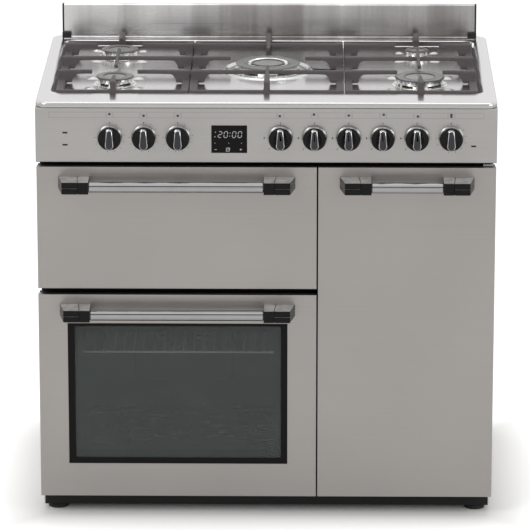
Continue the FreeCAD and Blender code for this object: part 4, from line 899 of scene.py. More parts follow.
def panSupport(name, node, x0, x1, column, reach, wide):
    p = place
    y0, y1 = hob["recessFront"] + iron["inset"], hob["recessRear"] - iron["inset"]
    low, foot = p["deck"] + iron["railUp"], p["deck"] + iron["frameUp"]
    rail, height = iron["rail"], iron["railHeight"]
    parts = Parts()
    for a in (x0, x1 - iron["side"]):
        parts.box(a, a + iron["side"], y0, y1, foot, low + height)
        for y in (y0 + iron["padIn"], y1 - iron["padIn"]):
            parts.box(a + 2.0, a + iron["side"] - 2.0, y - rail, y + rail, p["deck"] + 0.4, low + 1)
    for a in (y0, y1 - rail):
        parts.box(x0, x1, a, a + rail, foot, low + height)
    for row in (p["frontRow"], p["middleRow"], p["rearRow"]):
        through = (row != p["middleRow"]) if wide else (row == p["middleRow"])
        stop = -iron["overlap"] if through else reach
        castArm(parts, "x", row, x0, column - stop)
        castArm(parts, "x", row, x1, column + stop)
    if wide:
        castArm(parts, "y", column, y0, p["middleRow"] - reach)
        castArm(parts, "y", column, y1, p["middleRow"] + reach)
    else:
        castArm(parts, "y", column, y0, p["frontRow"] - reach)
        castArm(parts, "y", column, y1, p["rearRow"] + reach)
        half = p["middleRow"] - p["frontRow"] - reach
        parts.box(column - iron["tipHalf"], column + iron["tipHalf"], p["middleRow"] - half,
                  p["middleRow"] + half, p["supportTop"] - iron["tipHeight"], p["supportTop"] - 0.3)
    thing = faceOut(parts.finish(name, ["castIron"], body=None))
    remesh = thing.modifiers.new("cast", "REMESH")
    remesh.mode = "VOXEL"
    remesh.voxel_size = iron["voxel"] * mm
    remesh.use_smooth_shade = True
    ease = thing.modifiers.new("ease", "SMOOTH")
    ease.iterations = iron["smoothing"]
    ease.factor = 0.5
    thin = thing.modifiers.new("thin", "DECIMATE")
    thin.ratio = iron["kept"]
    bake(thing)
    if not thing.data.materials:
        thing.data.materials.append(looks["castIron"])
    thing.data.shade_smooth()
    hold(thing, node, [node])
    print(name, len(thing.data.polygons))


supports = {  # x0, x1, the burners' column, arm tips from a burner's middle, whether it goes round the wok
    "Left": (-415.0, -154.0, -place["column"], 45.0, False),
    "Centre": (-152.0, 152.0, 0.0, 75.0, True),
    "Right": (154.0, 415.0, place["column"], 45.0, False)}
for name, sizes in supports.items():
    panSupport("iron" + name, "pan_support_" + name.lower(), *sizes)


# knobs, clock, lamps and the panel's marks

knobPlaces = {
    "oven_knob_1": -305.1, "oven_knob_2": -238.6, "oven_knob_3": -172.1, "oven_knob_4": 360.15,
    "gas_knob_1": 27.65, "gas_knob_2": 94.15, "gas_knob_3": 160.65, "gas_knob_4": 227.15, "gas_knob_5": 293.65}
knob = {"front": -300.0, "skirt": 24.9, "body": 22.6, "grip": 9.0, "gasBack": -279.0, "ovenBack": -276.0,
        "socket": 4.25, "socketEnd": -294.0, "shaft": 3.0, "shaftEnd": -257.0}


def gripOutline(grow):
    # narrow and square at the pointer, wide and round below
    points = []
    for i in range(9):
        turn = math.radians(180 + 180 * i / 8)
        points.append(((8.3 + grow) * math.cos(turn), -11.0 + (9.0 + grow) * math.sin(turn)))
    for i in range(5):
        turn = math.radians(25 + 130 * i / 4)
        points.append(((5.7 + grow) * math.cos(turn) / math.cos(math.radians(25)),
                       15.2 + (4.6 + grow) * math.sin(turn)))
    return points


def knobPiece(node, x):
    z = place["knobZ"]
    back = knob["gasBack"] if node.startswith("gas") else knob["ovenBack"]
    front = knob["front"] + knob["grip"]
    parts = Parts()
    skirt, body = knob["skirt"], knob["body"]
    # heights run along +Y from the wall side to the front as negative numbers
    ring = [(skirt - 3.0, back), (skirt - 0.4, back - 0.2), (skirt, back - 0.9), (skirt - 0.3, back - 2.6),
            (body + 0.7, back - 5.2), (body + 0.2, back - 6.4)]
    disc = [(body, back - 6.6), (body, front + 2.2), (body - 0.7, front + 0.7), (body - 2.0, front),
            (body - 4.0, front + 0.25), (3.0, front + 0.3)]
    parts.turned(ring + disc, (x, 0.0, z), "y", 64, slotsByRow=[1] * len(ring) + [0] * (len(disc) - 1))
    steps = [(1.4, front + 1.2, 0), (1.4, front - 1.0, 1), (0.9, front - 2.2, 1), (0.3, front - 6.8, 1),
             (-0.6, front - 8.3, 1), (-1.5, front - 8.9, 1), (-1.9, front - 8.9, 2), (-2.3, front - 8.3, 2),
             (-6.0, front - 8.2, 2)]
    base, n, last = len(parts.verts), len(gripOutline(0.0)), len(steps) - 1
    for grow, y, _ in steps:
        parts.verts += [(x + a, y, z + b) for a, b in gripOutline(grow)]
    for r in range(last):
        parts.strip(base + r * n, base + (r + 1) * n, n, steps[r + 1][2])
    parts.cap(base + last * n, n, 2)
    parts.cap(base, n, 0, True)
    if node.startswith("oven"):
        parts.turned([(knob["shaft"], knob["shaftEnd"]), (knob["shaft"], back - 1.0)], (x, 0.0, z), "y", 24,
                     slotIndex=1)
    thing = faceOut(parts.finish("dial_" + node, ["knobBlack", "chrome", "graphite"], body=None))
    if node.startswith("gas"):  # the D-shaped socket that the tap's stem sits in
        r, turns = knob["socket"], [math.radians(140.0 + 260.0 * i / 20) for i in range(21)]
        outline = [(z + r * math.sin(t), x + r * math.cos(t)) for t in turns]
        socket = Parts().prism(outline, knob["socketEnd"], back + 2.0, "y")
        cutAway(thing, [faceOut(socket.finish("socket", ["knobBlack"], body=None, smooth=False))], True)
    thing.data.shade_smooth()
    thing.data.set_sharp_from_angle(angle=math.radians(38.0))
    hold(thing, node, [node])


for node, x in knobPlaces.items():
    knobPiece(node, x)

clock = {"x": -72.0, "z": 777.1, "width": 69.2, "height": 54.8, "front": -276.4, "back": -249.0, "corner": 4.0,
         "slant": 0.12, "digitWidth": 6.6, "digitHeight": 12.0, "digitLine": 1.15}


def clockFace():
    c = clock
    parts = Parts()
    w, h = c["width"] / 2, c["height"] / 2
    outline = [(z, x) for x, z in roundedRect(c["x"] - w, c["x"] + w, c["z"] - h, c["z"] + h, c["corner"])]
    parts.prism(outline, c["front"], c["back"], "y")
    glass = soften(faceOut(parts.finish("clockGlass", ["clockGlass"], body=None)), 0.7, 3)
    hold(glass, "root", ["clock_display"])

    lit = Parts()
    y0, y1 = c["front"] - 0.06, c["front"] + 0.2
    segments = {"0": "abcdef", "2": "abged"}
    slant, width, height, thick = c["slant"], c["digitWidth"], c["digitHeight"], c["digitLine"]

    def bar(cx, cz, w2, h2):
        outline = [(-w2, -h2), (w2, -h2), (w2, h2), (-w2, h2)]
        spots = [(cx + a + (cz + b - c["z"]) * slant, cz + b) for a, b in outline]
        lit.prism([(z, x) for x, z in reversed(spots)], y0, y1, "y")

    def digit(cx, cz, which):
        half, gap = height / 2, 0.35
        places = {"a": (0, half, 1), "g": (0, 0, 1), "d": (0, -half, 1), "b": (width / 2, half / 2, 0),
                  "c": (width / 2, -half / 2, 0), "e": (-width / 2, -half / 2, 0), "f": (-width / 2, half / 2, 0)}
        for letter in segments[which]:
            dx, dz, flat = places[letter]
            if flat:
                bar(cx + dx, cz + dz, width / 2 - gap - thick / 2, thick / 2)
            else:
                bar(cx + dx, cz + dz, thick / 2, half / 2 - gap - thick / 2)

    top = c["z"] + 9.6
    for x, which in ((-20.5, "2"), (-9.3, "0"), (7.0, "0"), (18.2, "0")):
        digit(c["x"] + x + 1.5, top, which)
    for dz in (-3.0, 3.0):
        bar(c["x"] + 0.3, top + dz, 0.7, 0.7)
    for dz in (-4.6, 4.6):
        bar(c["x"] - 28.5, top + dz, 0.8, 0.8)
    for dx in (-27.0, 0.0, 25.0):
        bar(c["x"] + dx, c["z"] - 7.5, 0.6, 0.6)
    row = c["z"] - 20.5
    bar(c["x"] - 24.0, row, 2.2, 0.45)
    bar(c["x"] + 25.0, row, 2.2, 0.45)
    bar(c["x"] + 25.0, row, 0.45, 2.2)
    for a, b, w2, h2 in ((0, 3.2, 3.4, 0.45), (0, -3.2, 3.4, 0.45), (-3.2, 0, 0.45, 3.4), (3.2, 0, 0.45, 3.4),
                         (0, 0.8, 0.45, 1.6), (1.0, 0, 1.2, 0.4)):
        bar(c["x"] + a, row + b, w2, h2)
    faceOut(lit.finish("clockDigits", ["digits"], slotName="black_glass", smooth=False))


clockFace()

lens = {"places": ((-392.2, 789.3), (-392.2, 765.0), (404.2, 764.0)), "halfWidth": 4.9, "halfHeight": 1.6,
        "front": -275.7, "back": -270.0}


def panelLenses():
    parts = Parts()
    w, h = lens["halfWidth"], lens["halfHeight"]
    for x, z in lens["places"]:
        outline = [(b, a) for a, b in roundedRect(x - w, x + w, z - h, z + h, 1.2, 4)]
        parts.prism(outline, lens["front"], lens["back"], "y")
    thing = soften(faceOut(parts.finish("panelLenses", ["lensDark"], body=None)), 0.35, 2)
    hold(thing, "root", ["lamp_lenses"])


panelLenses()


marks = {"band": (819.4, 830.8), "bandEnd": 424.0, "gap": 7.0, "square": 5.6, "tickFrom": 27.6, "dropAway": 31.5}


def panelMarks():
    # the printed band, the hob-plan squares above the knobs, and the marks round each knob
    y0, y1 = place["face"] - 0.05, place["face"] + 0.3
    band, dark = Parts(), Parts()

    def mark(parts, x0, x1, z0, z1):
        parts.box(x0, x1, y0, y1, z0, z1)

    def frameOf(parts, x0, x1, z0, z1, t):
        mark(parts, x0, x1, z0, z0 + t)
        mark(parts, x0, x1, z1 - t, z1)
        mark(parts, x0, x0 + t, z0, z1)
        mark(parts, x1 - t, x1, z0, z1)

    zb0, zb1 = marks["band"]
    edges = [-marks["bandEnd"]]
    for x in sorted(knobPlaces.values()):
        edges += [x - marks["gap"], x + marks["gap"]]
    edges.append(marks["bandEnd"])
    for a, b in zip(edges[::2], edges[1::2]):
        frameOf(band, a, b, zb0, zb1, 0.4)
    for x in knobPlaces.values():
        frameOf(band, x - marks["square"], x + marks["square"], zb0 - 0.4, zb1 + 0.4, 0.35)
    spots = {"gas_knob_1": (-1.2, -1.6), "gas_knob_2": (-1.2, 1.8), "gas_knob_3": (0, 0),
             "gas_knob_4": (1.4, 1.8), "gas_knob_5": (1.4, -1.6), "oven_knob_1": (0, 1.6),
             "oven_knob_2": (0, -1.4), "oven_knob_3": (0, -1.4), "oven_knob_4": (0, 0)}
    for node, (dx, dz) in spots.items():
        x, z = knobPlaces[node] + dx, (zb0 + zb1) / 2 + dz
        tall = 4.2 if node == "oven_knob_4" else 2.3
        mark(dark, x - 2.3, x + 2.3, z - tall, z + tall)
    band.finish("panelBand", ["faintPrint"], slotName="steel", smooth=False)
    dark.finish("panelSquares", ["print"], slotName="steel", smooth=False)

    ticks = []
    for node, x in knobPlaces.items():
        oven = node.startswith("oven")
        tick = Parts().box(-0.45, 0.45, y0, y1, marks["tickFrom"], 30.0 if oven else 29.0)
        tick = tick.finish("tick", ["print"], body=None, smooth=False)
        count, step, start = (11, 27.0, 0.0) if oven else (3, -45.0, -45.0)
        ticks.append(repeat(tick, "round", count, (0, step, 0), (0, start, 0), (x, 0.0, place["knobZ"])))
        extra = Parts()
        extra.box(x - 0.6, x + 0.6, y0, y1, place["knobZ"] + 27.2, place["knobZ"] + 31.2)
        if not oven:  # a large and a small flame as plain drops
            for turn, size in ((90.0, 2.6), (135.0, 1.7)):
                cx = x - marks["dropAway"] * math.sin(math.radians(turn))
                cz = place["knobZ"] + marks["dropAway"] * math.cos(math.radians(turn))
                around, r = [math.radians(a) for a in range(60, 301, 30)], size * 0.55
                drop = [(r * math.sin(t), r * math.cos(t) - 0.3 * size) for t in around] + [(0.0, size)]
                extra.prism([(cz + b, cx + a) for a, b in drop], y0, y1, "y")
        ticks.append(faceOut(extra.finish("extra", ["print"], body=None, smooth=False)))
    merged("knobMarks", ticks, "root")


panelMarks()
print("controls made")


# door handles

handles = {  # x0, x1, z, body
    "grill": (-397.3, 47.3, 689.6), "main": (-397.3, 47.3, 430.0), "tall": (153.5, 397.3, 689.6)}
grip = {"front": -325.0, "block": 52.0, "flare": 9.8, "height": 24.0, "bar": 10.95, "barY": -312.0, "seam": 0.45}


def handleEnds(door, x0, x1, z):
    g = grip
    bar, blocks = Parts(), Parts()
    a, b = x0 + g["block"], x1 - g["block"]
    r = g["bar"]
    bar.turned([(r - 2.0, a - 0.5), (r - 2.0, a + 0.2), (r - 1.4, a + 0.6), (r, a + 1.6), (r, b - 1.6),
                (r - 1.4, b - 0.6), (r - 2.0, b - 0.2), (r - 2.0, b + 0.5)], (0.0, g["barY"], z), "x", 64)
    bar.finish("bar_" + door, ["barChromeShaded"], body=door + "_door", slotName="chrome", stands=[door + "_door_handle"],
               angle=50.0)
    y0, y1 = g["front"], place["face"]
    for end, side in ((x0, 1.0), (x1, -1.0)):
        split = end + side * g["block"] * 0.6
        inner = end + side * g["block"]
        lean = -side * g["flare"] * 0.35

        def slab(p, q, pr, qr, low, high, inset=0.0):
            # p and q are the X of the front corners, pr and qr of the rear ones
            plan = [(p + side * inset, y0 + inset), (q - side * inset, y0 + inset), (qr - side * inset, y1),
                    (pr + side * inset, y1)]
            if side < 0:
                plan.reverse()
            blocks.prism(plan, z + low, z + high)

        h, seam, flared = g["height"] / 2, side * g["seam"] / 2, end - side * g["flare"]
        for low, high in ((0.3, h), (-h, -0.3)):
            slab(end, split - seam, flared, split + lean - seam, low, high)
        slab(split + seam, inner, split + lean + seam, inner, -h, h)
        slab(end, inner, flared, inner, -h + 1.2, h - 1.2, 1.4)
    ends = soften(faceOut(blocks.finish("ends_" + door, ["glossBlack", "paintedTopReflection"], body=None)), 1.1, 3)
    # the top facets take the lighter grey, a painted reflection of the lights above
    for polygon in ends.data.polygons:
        polygon.material_index = 1 if polygon.normal.z > 0.8 else 0
    hold(ends, door + "_door", [door + "_handle_ends"])


for door, (x0, x1, z) in handles.items():
    handleEnds(door, x0, x1, z)
print("handles made")


# door skins and the oven's window

doors = {"grill": (-449.0, 99.0, 473.6, 720.6), "main": (-449.0, 99.0, 43.0, 461.0),
         "tall": (101.8, 449.0, 43.0, 720.6)}
window = (-392.0, 42.0, 111.0, 402.0)
skin = {"sheet": 1.5, "fold": 14.0, "edge": 1.6}
panes = {"front": 1.6, "back": 5.4, "lap": 9.8, "inset": 18.2, "innerFront": -244.4, "innerBack": -240.6,
         "border": (14.0, 13.0, 12.5, 6.0)}  # the printed border's width left, right, below and above


def doorSkin(door, x0, x1, z0, z1, hole=None):
    # a folded sheet: the face, four returns and, on the main door, the window's opening
    y0, y1 = place["face"], place["face"] + skin["fold"]
    xs, zs = [x0, x1], [z0, z1]
    if hole:
        xs, zs = [x0, hole[0], hole[1], x1], [z0, hole[2], hole[3], z1]
    verts, faces = [], []
    for z in zs:
        for x in xs:
            verts.append((x, y0, z))
    n = len(xs)
    for r in range(len(zs) - 1):
        for c in range(n - 1):
            if hole and r == 1 and c == 1:
                continue
            i = r * n + c
            faces.append((i, i + 1, i + n + 1, i + n))
    bm = bmesh.new()
    made = [bm.verts.new(tuple(c * mm for c in v)) for v in verts]
    for f in faces:
        bm.faces.new([made[i] for i in f])
    sides = ((0, x0), (0, x1), (2, z0), (2, z1))
    rim = [e for e in bm.edges if e.is_boundary
           and any(all(abs(v.co[k] - c * mm) < 1e-6 for v in e.verts) for k, c in sides)]
    grown = bmesh.ops.extrude_edge_only(bm, edges=rim)
    for v in grown["geom"]:
        if isinstance(v, bmesh.types.BMVert):
            v.co.y = y1 * mm
    bmesh.ops.recalc_face_normals(bm, faces=bm.faces)
    front = min(bm.faces, key=lambda f: f.calc_center_median().y)
    if front.normal.y > 0:
        bmesh.ops.reverse_faces(bm, faces=bm.faces)
    mesh = bpy.data.meshes.new("skin_" + door)
    bm.to_mesh(mesh)
    bm.free()
    mesh.materials.append(looks["doorSteel"])
    thing = bpy.data.objects.new("skin_" + door, mesh)
    scene.collection.objects.link(thing)
    wall = thing.modifiers.new("sheet", "SOLIDIFY")
    wall.thickness = skin["sheet"] * mm
    wall.offset = -1.0
    thing.data.shade_smooth()
    soften(thing, skin["edge"], 4, 50.0)
    hold(thing, door + "_door", [door + "_door_panel"])


for door, (x0, x1, z0, z1) in doors.items():
    doorSkin(door, x0, x1, z0, z1, window if door == "main" else None)


def ovenWindow():
    # a tinted outer pane with a black border printed on it, and a clear inner pane
    wx0, wx1, wz0, wz1 = window
    front, back = place["face"] + panes["front"], place["face"] + panes["back"]
    lap, inset = panes["lap"], panes["inset"]
    pane = Parts().box(wx0 - lap, wx1 + lap, front, back, wz0 - lap, wz1 + lap)
    pane = soften(pane.finish("outerPane", ["ovenGlass"], body=None), 0.5, 2)
    inner = Parts().box(wx0 + inset, wx1 - inset, panes["innerFront"], panes["innerBack"], wz0 + inset, wz1 - inset)
    inner = soften(inner.finish("innerPane", ["innerGlass"], body=None), 0.5, 2)
    merged("ovenPanes", [pane, inner], "main_door", ["main_door_glass"])
    border = Parts()
    a0, a1, c0, c1 = wx0 - lap + 1, wx1 + lap - 1, wz0 - lap + 1, wz1 + lap - 1
    left, right, below, above = panes["border"]
    hole = roundedRect(wx0 + left, wx1 - right, wz0 + below, wz1 - above, 3.0, 4)
    edge = roundedRect(a0, a1, c0, c1, 3.0, 4)
    y0, y1 = front - 0.05, front + 0.3
    n = len(hole)
    verts = [(x, y, z) for y in (y0, y1) for loop in (edge, hole) for x, z in loop]
    faces = []
    for i in range(n):
        j = (i + 1) % n
        faces += [(i, j, n + j, n + i), (2 * n + i, 3 * n + i, 3 * n + j, 2 * n + j),
                  (i, 2 * n + i, 2 * n + j, j), (n + i, n + j, 3 * n + j, 3 * n + i)]
    border.add(verts, faces)
    faceOut(border.finish("windowBorder", ["frit"], body="main_door", slotName="black_glass", smooth=False))


ovenWindow()
print("doors made")


# what shows inside the ovens

cavities = {"main": (-400.0, 50.0, 90.0, 420.0), "grill": (-400.0, 50.0, 505.0, 690.0),
            "tall": (150.8, 400.0, 90.0, 690.0)}
shelfWire = {"rim": 2.0, "cross": 1.35, "pitch": 20.0, "front": -204.0, "back": 106.0, "edge": 12.4,
             "middle": -49.0}
shelves = {"mainShelf": ("main", 319.3), "tallShelfLow": ("tall", 274.3), "tallShelfHigh": ("tall", 494.3)}


def wireShelf(name, cavity, level):
    s = shelfWire
    x0, x1 = cavities[cavity][0] + s["edge"] + s["rim"], cavities[cavity][1] - s["edge"] - s["rim"]
    z = level + s["rim"]
    rim = Parts()
    corner = roundedRect(x0, x1, s["front"] + 2, s["back"] - 2, 12.0, 6)
    rim.wire([(a, b, z) for a, b in corner], s["rim"], closed=True)
    rim.wire([(x0, s["middle"], z), (x1, s["middle"], z)], s["rim"])
    rim = rim.finish(name + "Rim", ["wireChrome"], body=None)
    count = int((x1 - x0 - 10) / s["pitch"])
    first = (x0 + x1) / 2 - (count - 1) * s["pitch"] / 2
    up = s["rim"] + s["cross"] - 0.2
    cross = Parts().wire([(0, s["front"] - 2.5, up - 2.2), (0, s["front"] - 1.0, up - 0.4),
                          (0, s["front"] + 3, up), (0, s["back"] - 3, up)], s["cross"], sides=8)
    cross = cross.finish(name + "Cross", ["wireChrome"], body=None)
    cross = repeat(cross, "row", count, (s["pitch"], 0, 0), (first, 0, 0), (0, 0, z))
    return [rim, cross]


made = []
for name, (cavity, level) in shelves.items():
    made += wireShelf(name, cavity, level)
merged("wireShelves", made, "root", ["oven_shelves"])

seals = {"offset": 4.0, "width": 10.0, "front": -238.6, "back": -231.0}


def mouthSeals():
    # round each oven's mouth; the grill oven's is open below, where its door's edge sweeps
    parts = Parts()
    for name, (x0, x1, z0, z1) in cavities.items():
        middle = seals["offset"] + seals["width"] / 2
        y = (seals["front"] + seals["back"]) / 2
        radius = (seals["back"] - seals["front"]) / 2 - 0.05
        if name == "grill":
            low = z0 - seals["offset"] + 0.2
            corners = [(x1 + middle, y, low), (x1 + middle, y, z1 + middle), (x0 - middle, y, z1 + middle),
                       (x0 - middle, y, low)]
            parts.wire(eased(corners, 16.0), radius, sides=14)
        else:
            path = roundedRect(x0 - middle, x1 + middle, z0 - middle, z1 + middle, 16.0, 8)
            parts.wire([(a, y, b) for a, b in path], radius, closed=True, sides=14)
    parts.finish("mouthSeals", ["seal"], slotName="seal_rubber", stands=["door_seals"])


mouthSeals()

oven = {"back": 171.0, "front": -229.0, "cover": 104.0, "coverFront": 131.0, "ring": 80.0, "element": 3.2,
        "ringY": 153.0, "fanY": 163.0, "outlet": (150.0, 156.0), "outletHalf": 60.0, "blades": 18,
        "terminal": 12.0, "grillDrop": 18.0, "grillIn": 40.0, "grillPitch": 100.0, "hangers": (-139.0, 81.0)}
fanPlaces = {"main": (-175.0, 255.0), "tall": (275.4, 390.0)}


def fanCovers():
    # pressed pans with two rings of radial slots and an outlet along each side
    made = []
    for x, z in fanPlaces.values():
        h, y0, y1 = oven["cover"] - 0.2, oven["coverFront"] + 0.2, oven["back"] - 0.2

        def pan(half, front, back, corner, name):
            outline = [(b, a) for a, b in roundedRect(x - half, x + half, z - half, z + half, corner, 6)]
            return faceOut(Parts().prism(outline, front, back, "y").finish(name, ["enamelDark"], body=None))

        cover = soften(pan(h, y0, y1, 22.0, "cover"), 5.0, 4, 60.0)
        cutters = [pan(h - 1.4, y0 + 1.4, y1 + 5, 20.6, "hollow")]
        for inner, outer, count in ((15.0, 37.0, 20), (44.0, 68.0, 32)):
            slot = Parts().prism([(-1.9, inner), (1.9, inner), (1.9, outer), (-1.9, outer)], y0 - 2, y0 + 4, "y")
            slot = faceOut(slot.finish("slot", ["enamelDark"], body=None, smooth=False))
            cutters.append(repeat(slot, "round", count, (0, 360.0 / count, 0), centre=(x, 0.0, z)))
        half = oven["outletHalf"]
        side = Parts().box(x - h - 3, x + h + 3, *oven["outlet"], z - half, z + half)
        cutters.append(side.finish("outlet", ["enamelDark"], body=None, smooth=False))
        made.append(cutAway(cover, cutters))
    merged("fanCovers", made, "root", ["fan_covers"])


fanCovers()


def radialFans():
    for name, (x, z) in fanPlaces.items():
        y = oven["fanY"]
        wheel = Parts().turned([(1.0, y - 19.8), (9.5, y - 19.8), (11.8, y - 18.0), (11.8, y - 0.5), (13.0, y),
                                (60.5, y), (61.6, y + 0.7), (60.5, y + 1.4), (2.8, y + 1.4), (2.8, y + 25.0),
                                (2.2, y + 25.4)], (x, 0.0, z), "y", 64)
        wheel = wheel.finish("wheel", ["elementSteel"], body=None, angle=35.0)
        blade = Parts().prism([(-0.7, 27.0), (0.7, 27.0), (7.0, 43.0), (18.5, 56.0), (17.3, 57.0), (5.6, 43.8)],
                              y - 19.5, y + 0.5, "y")
        blade = faceOut(blade.finish("blade", ["elementSteel"], body=None, smooth=False))
        blade = repeat(blade, "round", oven["blades"], (0, 360.0 / oven["blades"], 0), centre=(x, 0.0, z))
        merged("fan_" + name, [wheel, blade], name + "_fan", [name + "_fan"])


radialFans()


def ovenElements():
    # rings round the fans, and the grill's heater that winds to and fro
    parts = Parts()
    r, back = oven["element"] - 0.05, oven["back"]
    for x, z in fanPlaces.values():
        circle = [(x + oven["ring"] * math.cos(math.radians(a)), oven["ringY"],
                   z + oven["ring"] * math.sin(math.radians(a))) for a in range(0, 360, 6)]
        parts.wire(circle, r, closed=True, sides=12)
        for dx in (-oven["terminal"], oven["terminal"]):
            parts.wire([(x + dx, oven["ringY"], z + 78.0), (x + dx, back - 0.3, z + 78.0)], r, sides=12)
    x0, x1, z0, z1 = cavities["grill"]
    z = z1 - oven["grillDrop"]
    y0, y1 = oven["front"] + oven["grillIn"] + r, back - oven["grillIn"] - r
    xs = [(x0 + x1) / 2 + (i - 1.5) * oven["grillPitch"] for i in range(4)]
    run = [(xs[0], back - 0.3), (xs[0], y0), (xs[1], y0), (xs[1], y1), (xs[2], y1), (xs[2], y0), (xs[3], y0),
           (xs[3], back - 0.3)]
    parts.wire(eased([(x, y, z) for x, y in run], 16.0, 8), r, sides=12)
    for y in oven["hangers"]:
        parts.box(xs[0] - 6.0, xs[3] + 6.0, y + 0.1, y + 1.4, z + r - 0.2, z1 - 0.1)
    parts.finish("ovenElements", ["elementSteel"], slotName="element_steel", stands=["oven_elements"])


ovenElements()


ovenLamp = {"fromSide": 60.0, "drop": {"main": 50.0, "grill": 62.0, "tall": 50.0}}


def ovenLamps():
    parts = Parts()
    for name, drop in ovenLamp["drop"].items():
        x0, x1, z0, z1 = cavities[name]
        parts.turned([(17.6, 170.8), (17.9, 170.0), (17.9, 164.0), (16.2, 160.8), (12.5, 158.4), (6.5, 157.3),
                      (1.0, 157.1)], (x0 + ovenLamp["fromSide"], 0.0, z1 - drop), "y", 40)
    faceOut(parts.finish("ovenLamps", ["lampGlass"], slotName="lens", angle=50.0))


ovenLamps()


racks = {"main": (180.0, 225.0, 270.0, 315.0), "grill": (555.0, 600.0), "tall": (160.0, 270.0, 380.0, 490.0),
         "front": -189.0, "back": 101.0, "uprightIn": 22.5, "past": 17.8, "upright": 2.4, "runner": 1.9,
         "reach": (6.9, 14.0)}


def sideRacks():
    # two uprights on each wall, and a looped wire at every level
    parts = Parts()
    y0, y1 = racks["front"], racks["back"]
    for name, (x0, x1, z0, z1) in cavities.items():
        low, high = racks[name][0] - racks["past"], racks[name][-1] + racks["past"]
        for wall, side in ((x0, 1.0), (x1, -1.0)):
            for y in (y0 + racks["uprightIn"], y1 - racks["uprightIn"]):
                parts.wire([(wall + side * 2.5, y, low), (wall + side * 2.5, y, high)], racks["upright"], sides=10)
            for z in racks[name]:
                a, b = sorted(wall + side * x for x in racks["reach"])
                loop = [(p, q, z + 2.0) for p, q in roundedRect(a, b, y0 + 2, y1 - 2, 3.4, 4)]
                parts.wire(loop, racks["runner"], closed=True, sides=8)
    parts.finish("sideRacks", ["wireChrome"], slotName="wire_chrome", stands=["shelf_racks"])


sideRacks()


pan = {"x": (-381.0, 31.0), "y": (-199.0, 111.0), "low": 531.3, "rim": 559.3, "corner": 14.0}


def grillPan():
    (a, b), (y0, y1), low, rim = pan["x"], pan["y"], pan["low"], pan["rim"]
    steps = [(9.0, low + 0.1), (2.0, low + 0.5), (0.3, low + 2.2), (0.1, rim), (-9.0, rim + 0.1),
             (-9.8, rim + 0.8), (-9.2, rim + 1.4), (0.8, rim + 1.4), (1.9, rim + 0.4), (2.2, low + 4.5),
             (3.6, low + 2.2), (9.0, low + 1.6)]
    parts = Parts()
    for inset, z in steps:
        corner = max(pan["corner"] - inset, 5.0)
        parts.verts += [(x, y, z) for x, y in roundedRect(a + inset, b - inset, y0 + inset, y1 - inset, corner, 6)]
    n, last = len(parts.verts) // len(steps), len(steps) - 1
    parts.cap(0, n, 0, True)
    parts.cap(last * n, n)
    for r in range(last):
        parts.strip(r * n, (r + 1) * n, n)
    hold(faceOut(parts.finish("grillPan", ["enamelPan"], body=None)), "root", ["grill_pan"])


grillPan()


foot = {"x": (-418.0, 418.0), "y": (-207.0, 276.8), "nut": 9.0}


def levelFeet():
    parts = Parts()
    for x in foot["x"]:
        for y in foot["y"]:
            parts.turned([(19.4, 0.0), (20.7, 0.7), (20.7, 2.8), (17.8, 8.4), (16.8, 9.9)], (x, y, 0.0), sides=56)
            turns = [math.radians(a) for a in range(0, 360, 60)]
            nut = [(x + foot["nut"] * math.cos(t), y + foot["nut"] * math.sin(t)) for t in turns]
            parts.prism(nut, 9.5, 38.9)
            parts.turned([(4.9, 38.5), (4.9, 46.2), (4.2, 46.9)], (x, y, 0.0), sides=24)
    parts.finish("levelFeet", ["plasticBlack"], slotName="black_plastic", stands=["feet"])


levelFeet()
print("oven insides made")


# finishes of the CAD pieces that stay

nodeLooks = {
    "side_panels": "sideSteel", "back_panel": "zinc", "chassis_rails": "zinc", "front_frame": "paintBlack",
    "plinth": "paintBlack", "control_panel": "panelSteel", "gas_rail": "zinc", "oven_switches": "switchCream",
    "main_cavity": "enamelDark", "grill_cavity": "enamelDark", "tall_cavity": "enamelDark", "fan_motors": "zinc",
    "hinge_brackets": "zinc", "grill_door_liner": "paintBlack",
    "main_door_liner": "paintBlack", "tall_door_liner": "paintBlack"}
for i in range(1, 6):
    nodeLooks["tap_stem_" + str(i)] = "brass"
for node, look in nodeLooks.items():
    mesh = nodes[node].data
    mesh.materials.clear()
    mesh.materials.append(looks[look])
for node, thing in nodes.items():  # every CAD piece that shows has a finish
    if node not in nodeLooks and not thing.hide_render:
        print("no finish:", node)


# floor, light and camera

studio = {"floor": (0.93, 0.93, 0.93), "floorHalf": 30.0, "footprint": (0.44, 0.26), "glow": (0.12, 0.02, 0.5),
          "ambient": 0.54, "skyTones": ((0.0, 0.8), (0.34, 0.75), (0.40, 0.04), (0.60, 0.04), (0.67, 1.0))}
softLamps = {  # place, target, size, power
    "key": ((-2.6, -3.4, 3.4), (0, 0, 0.5), (2.4, 1.6), 75.0),
    "fill": ((3.2, -2.6, 1.9), (0, 0, 0.45), (2.0, 2.0), 40.0),
    "top": ((0.2, 0.9, 3.6), (0, 0, 0.8), (2.6, 1.2), 18.0)}
view = {"place": (0.0885, -8.155, 2.757), "pitch": 15.83, "yaw": -0.66, "lens": 283.2}


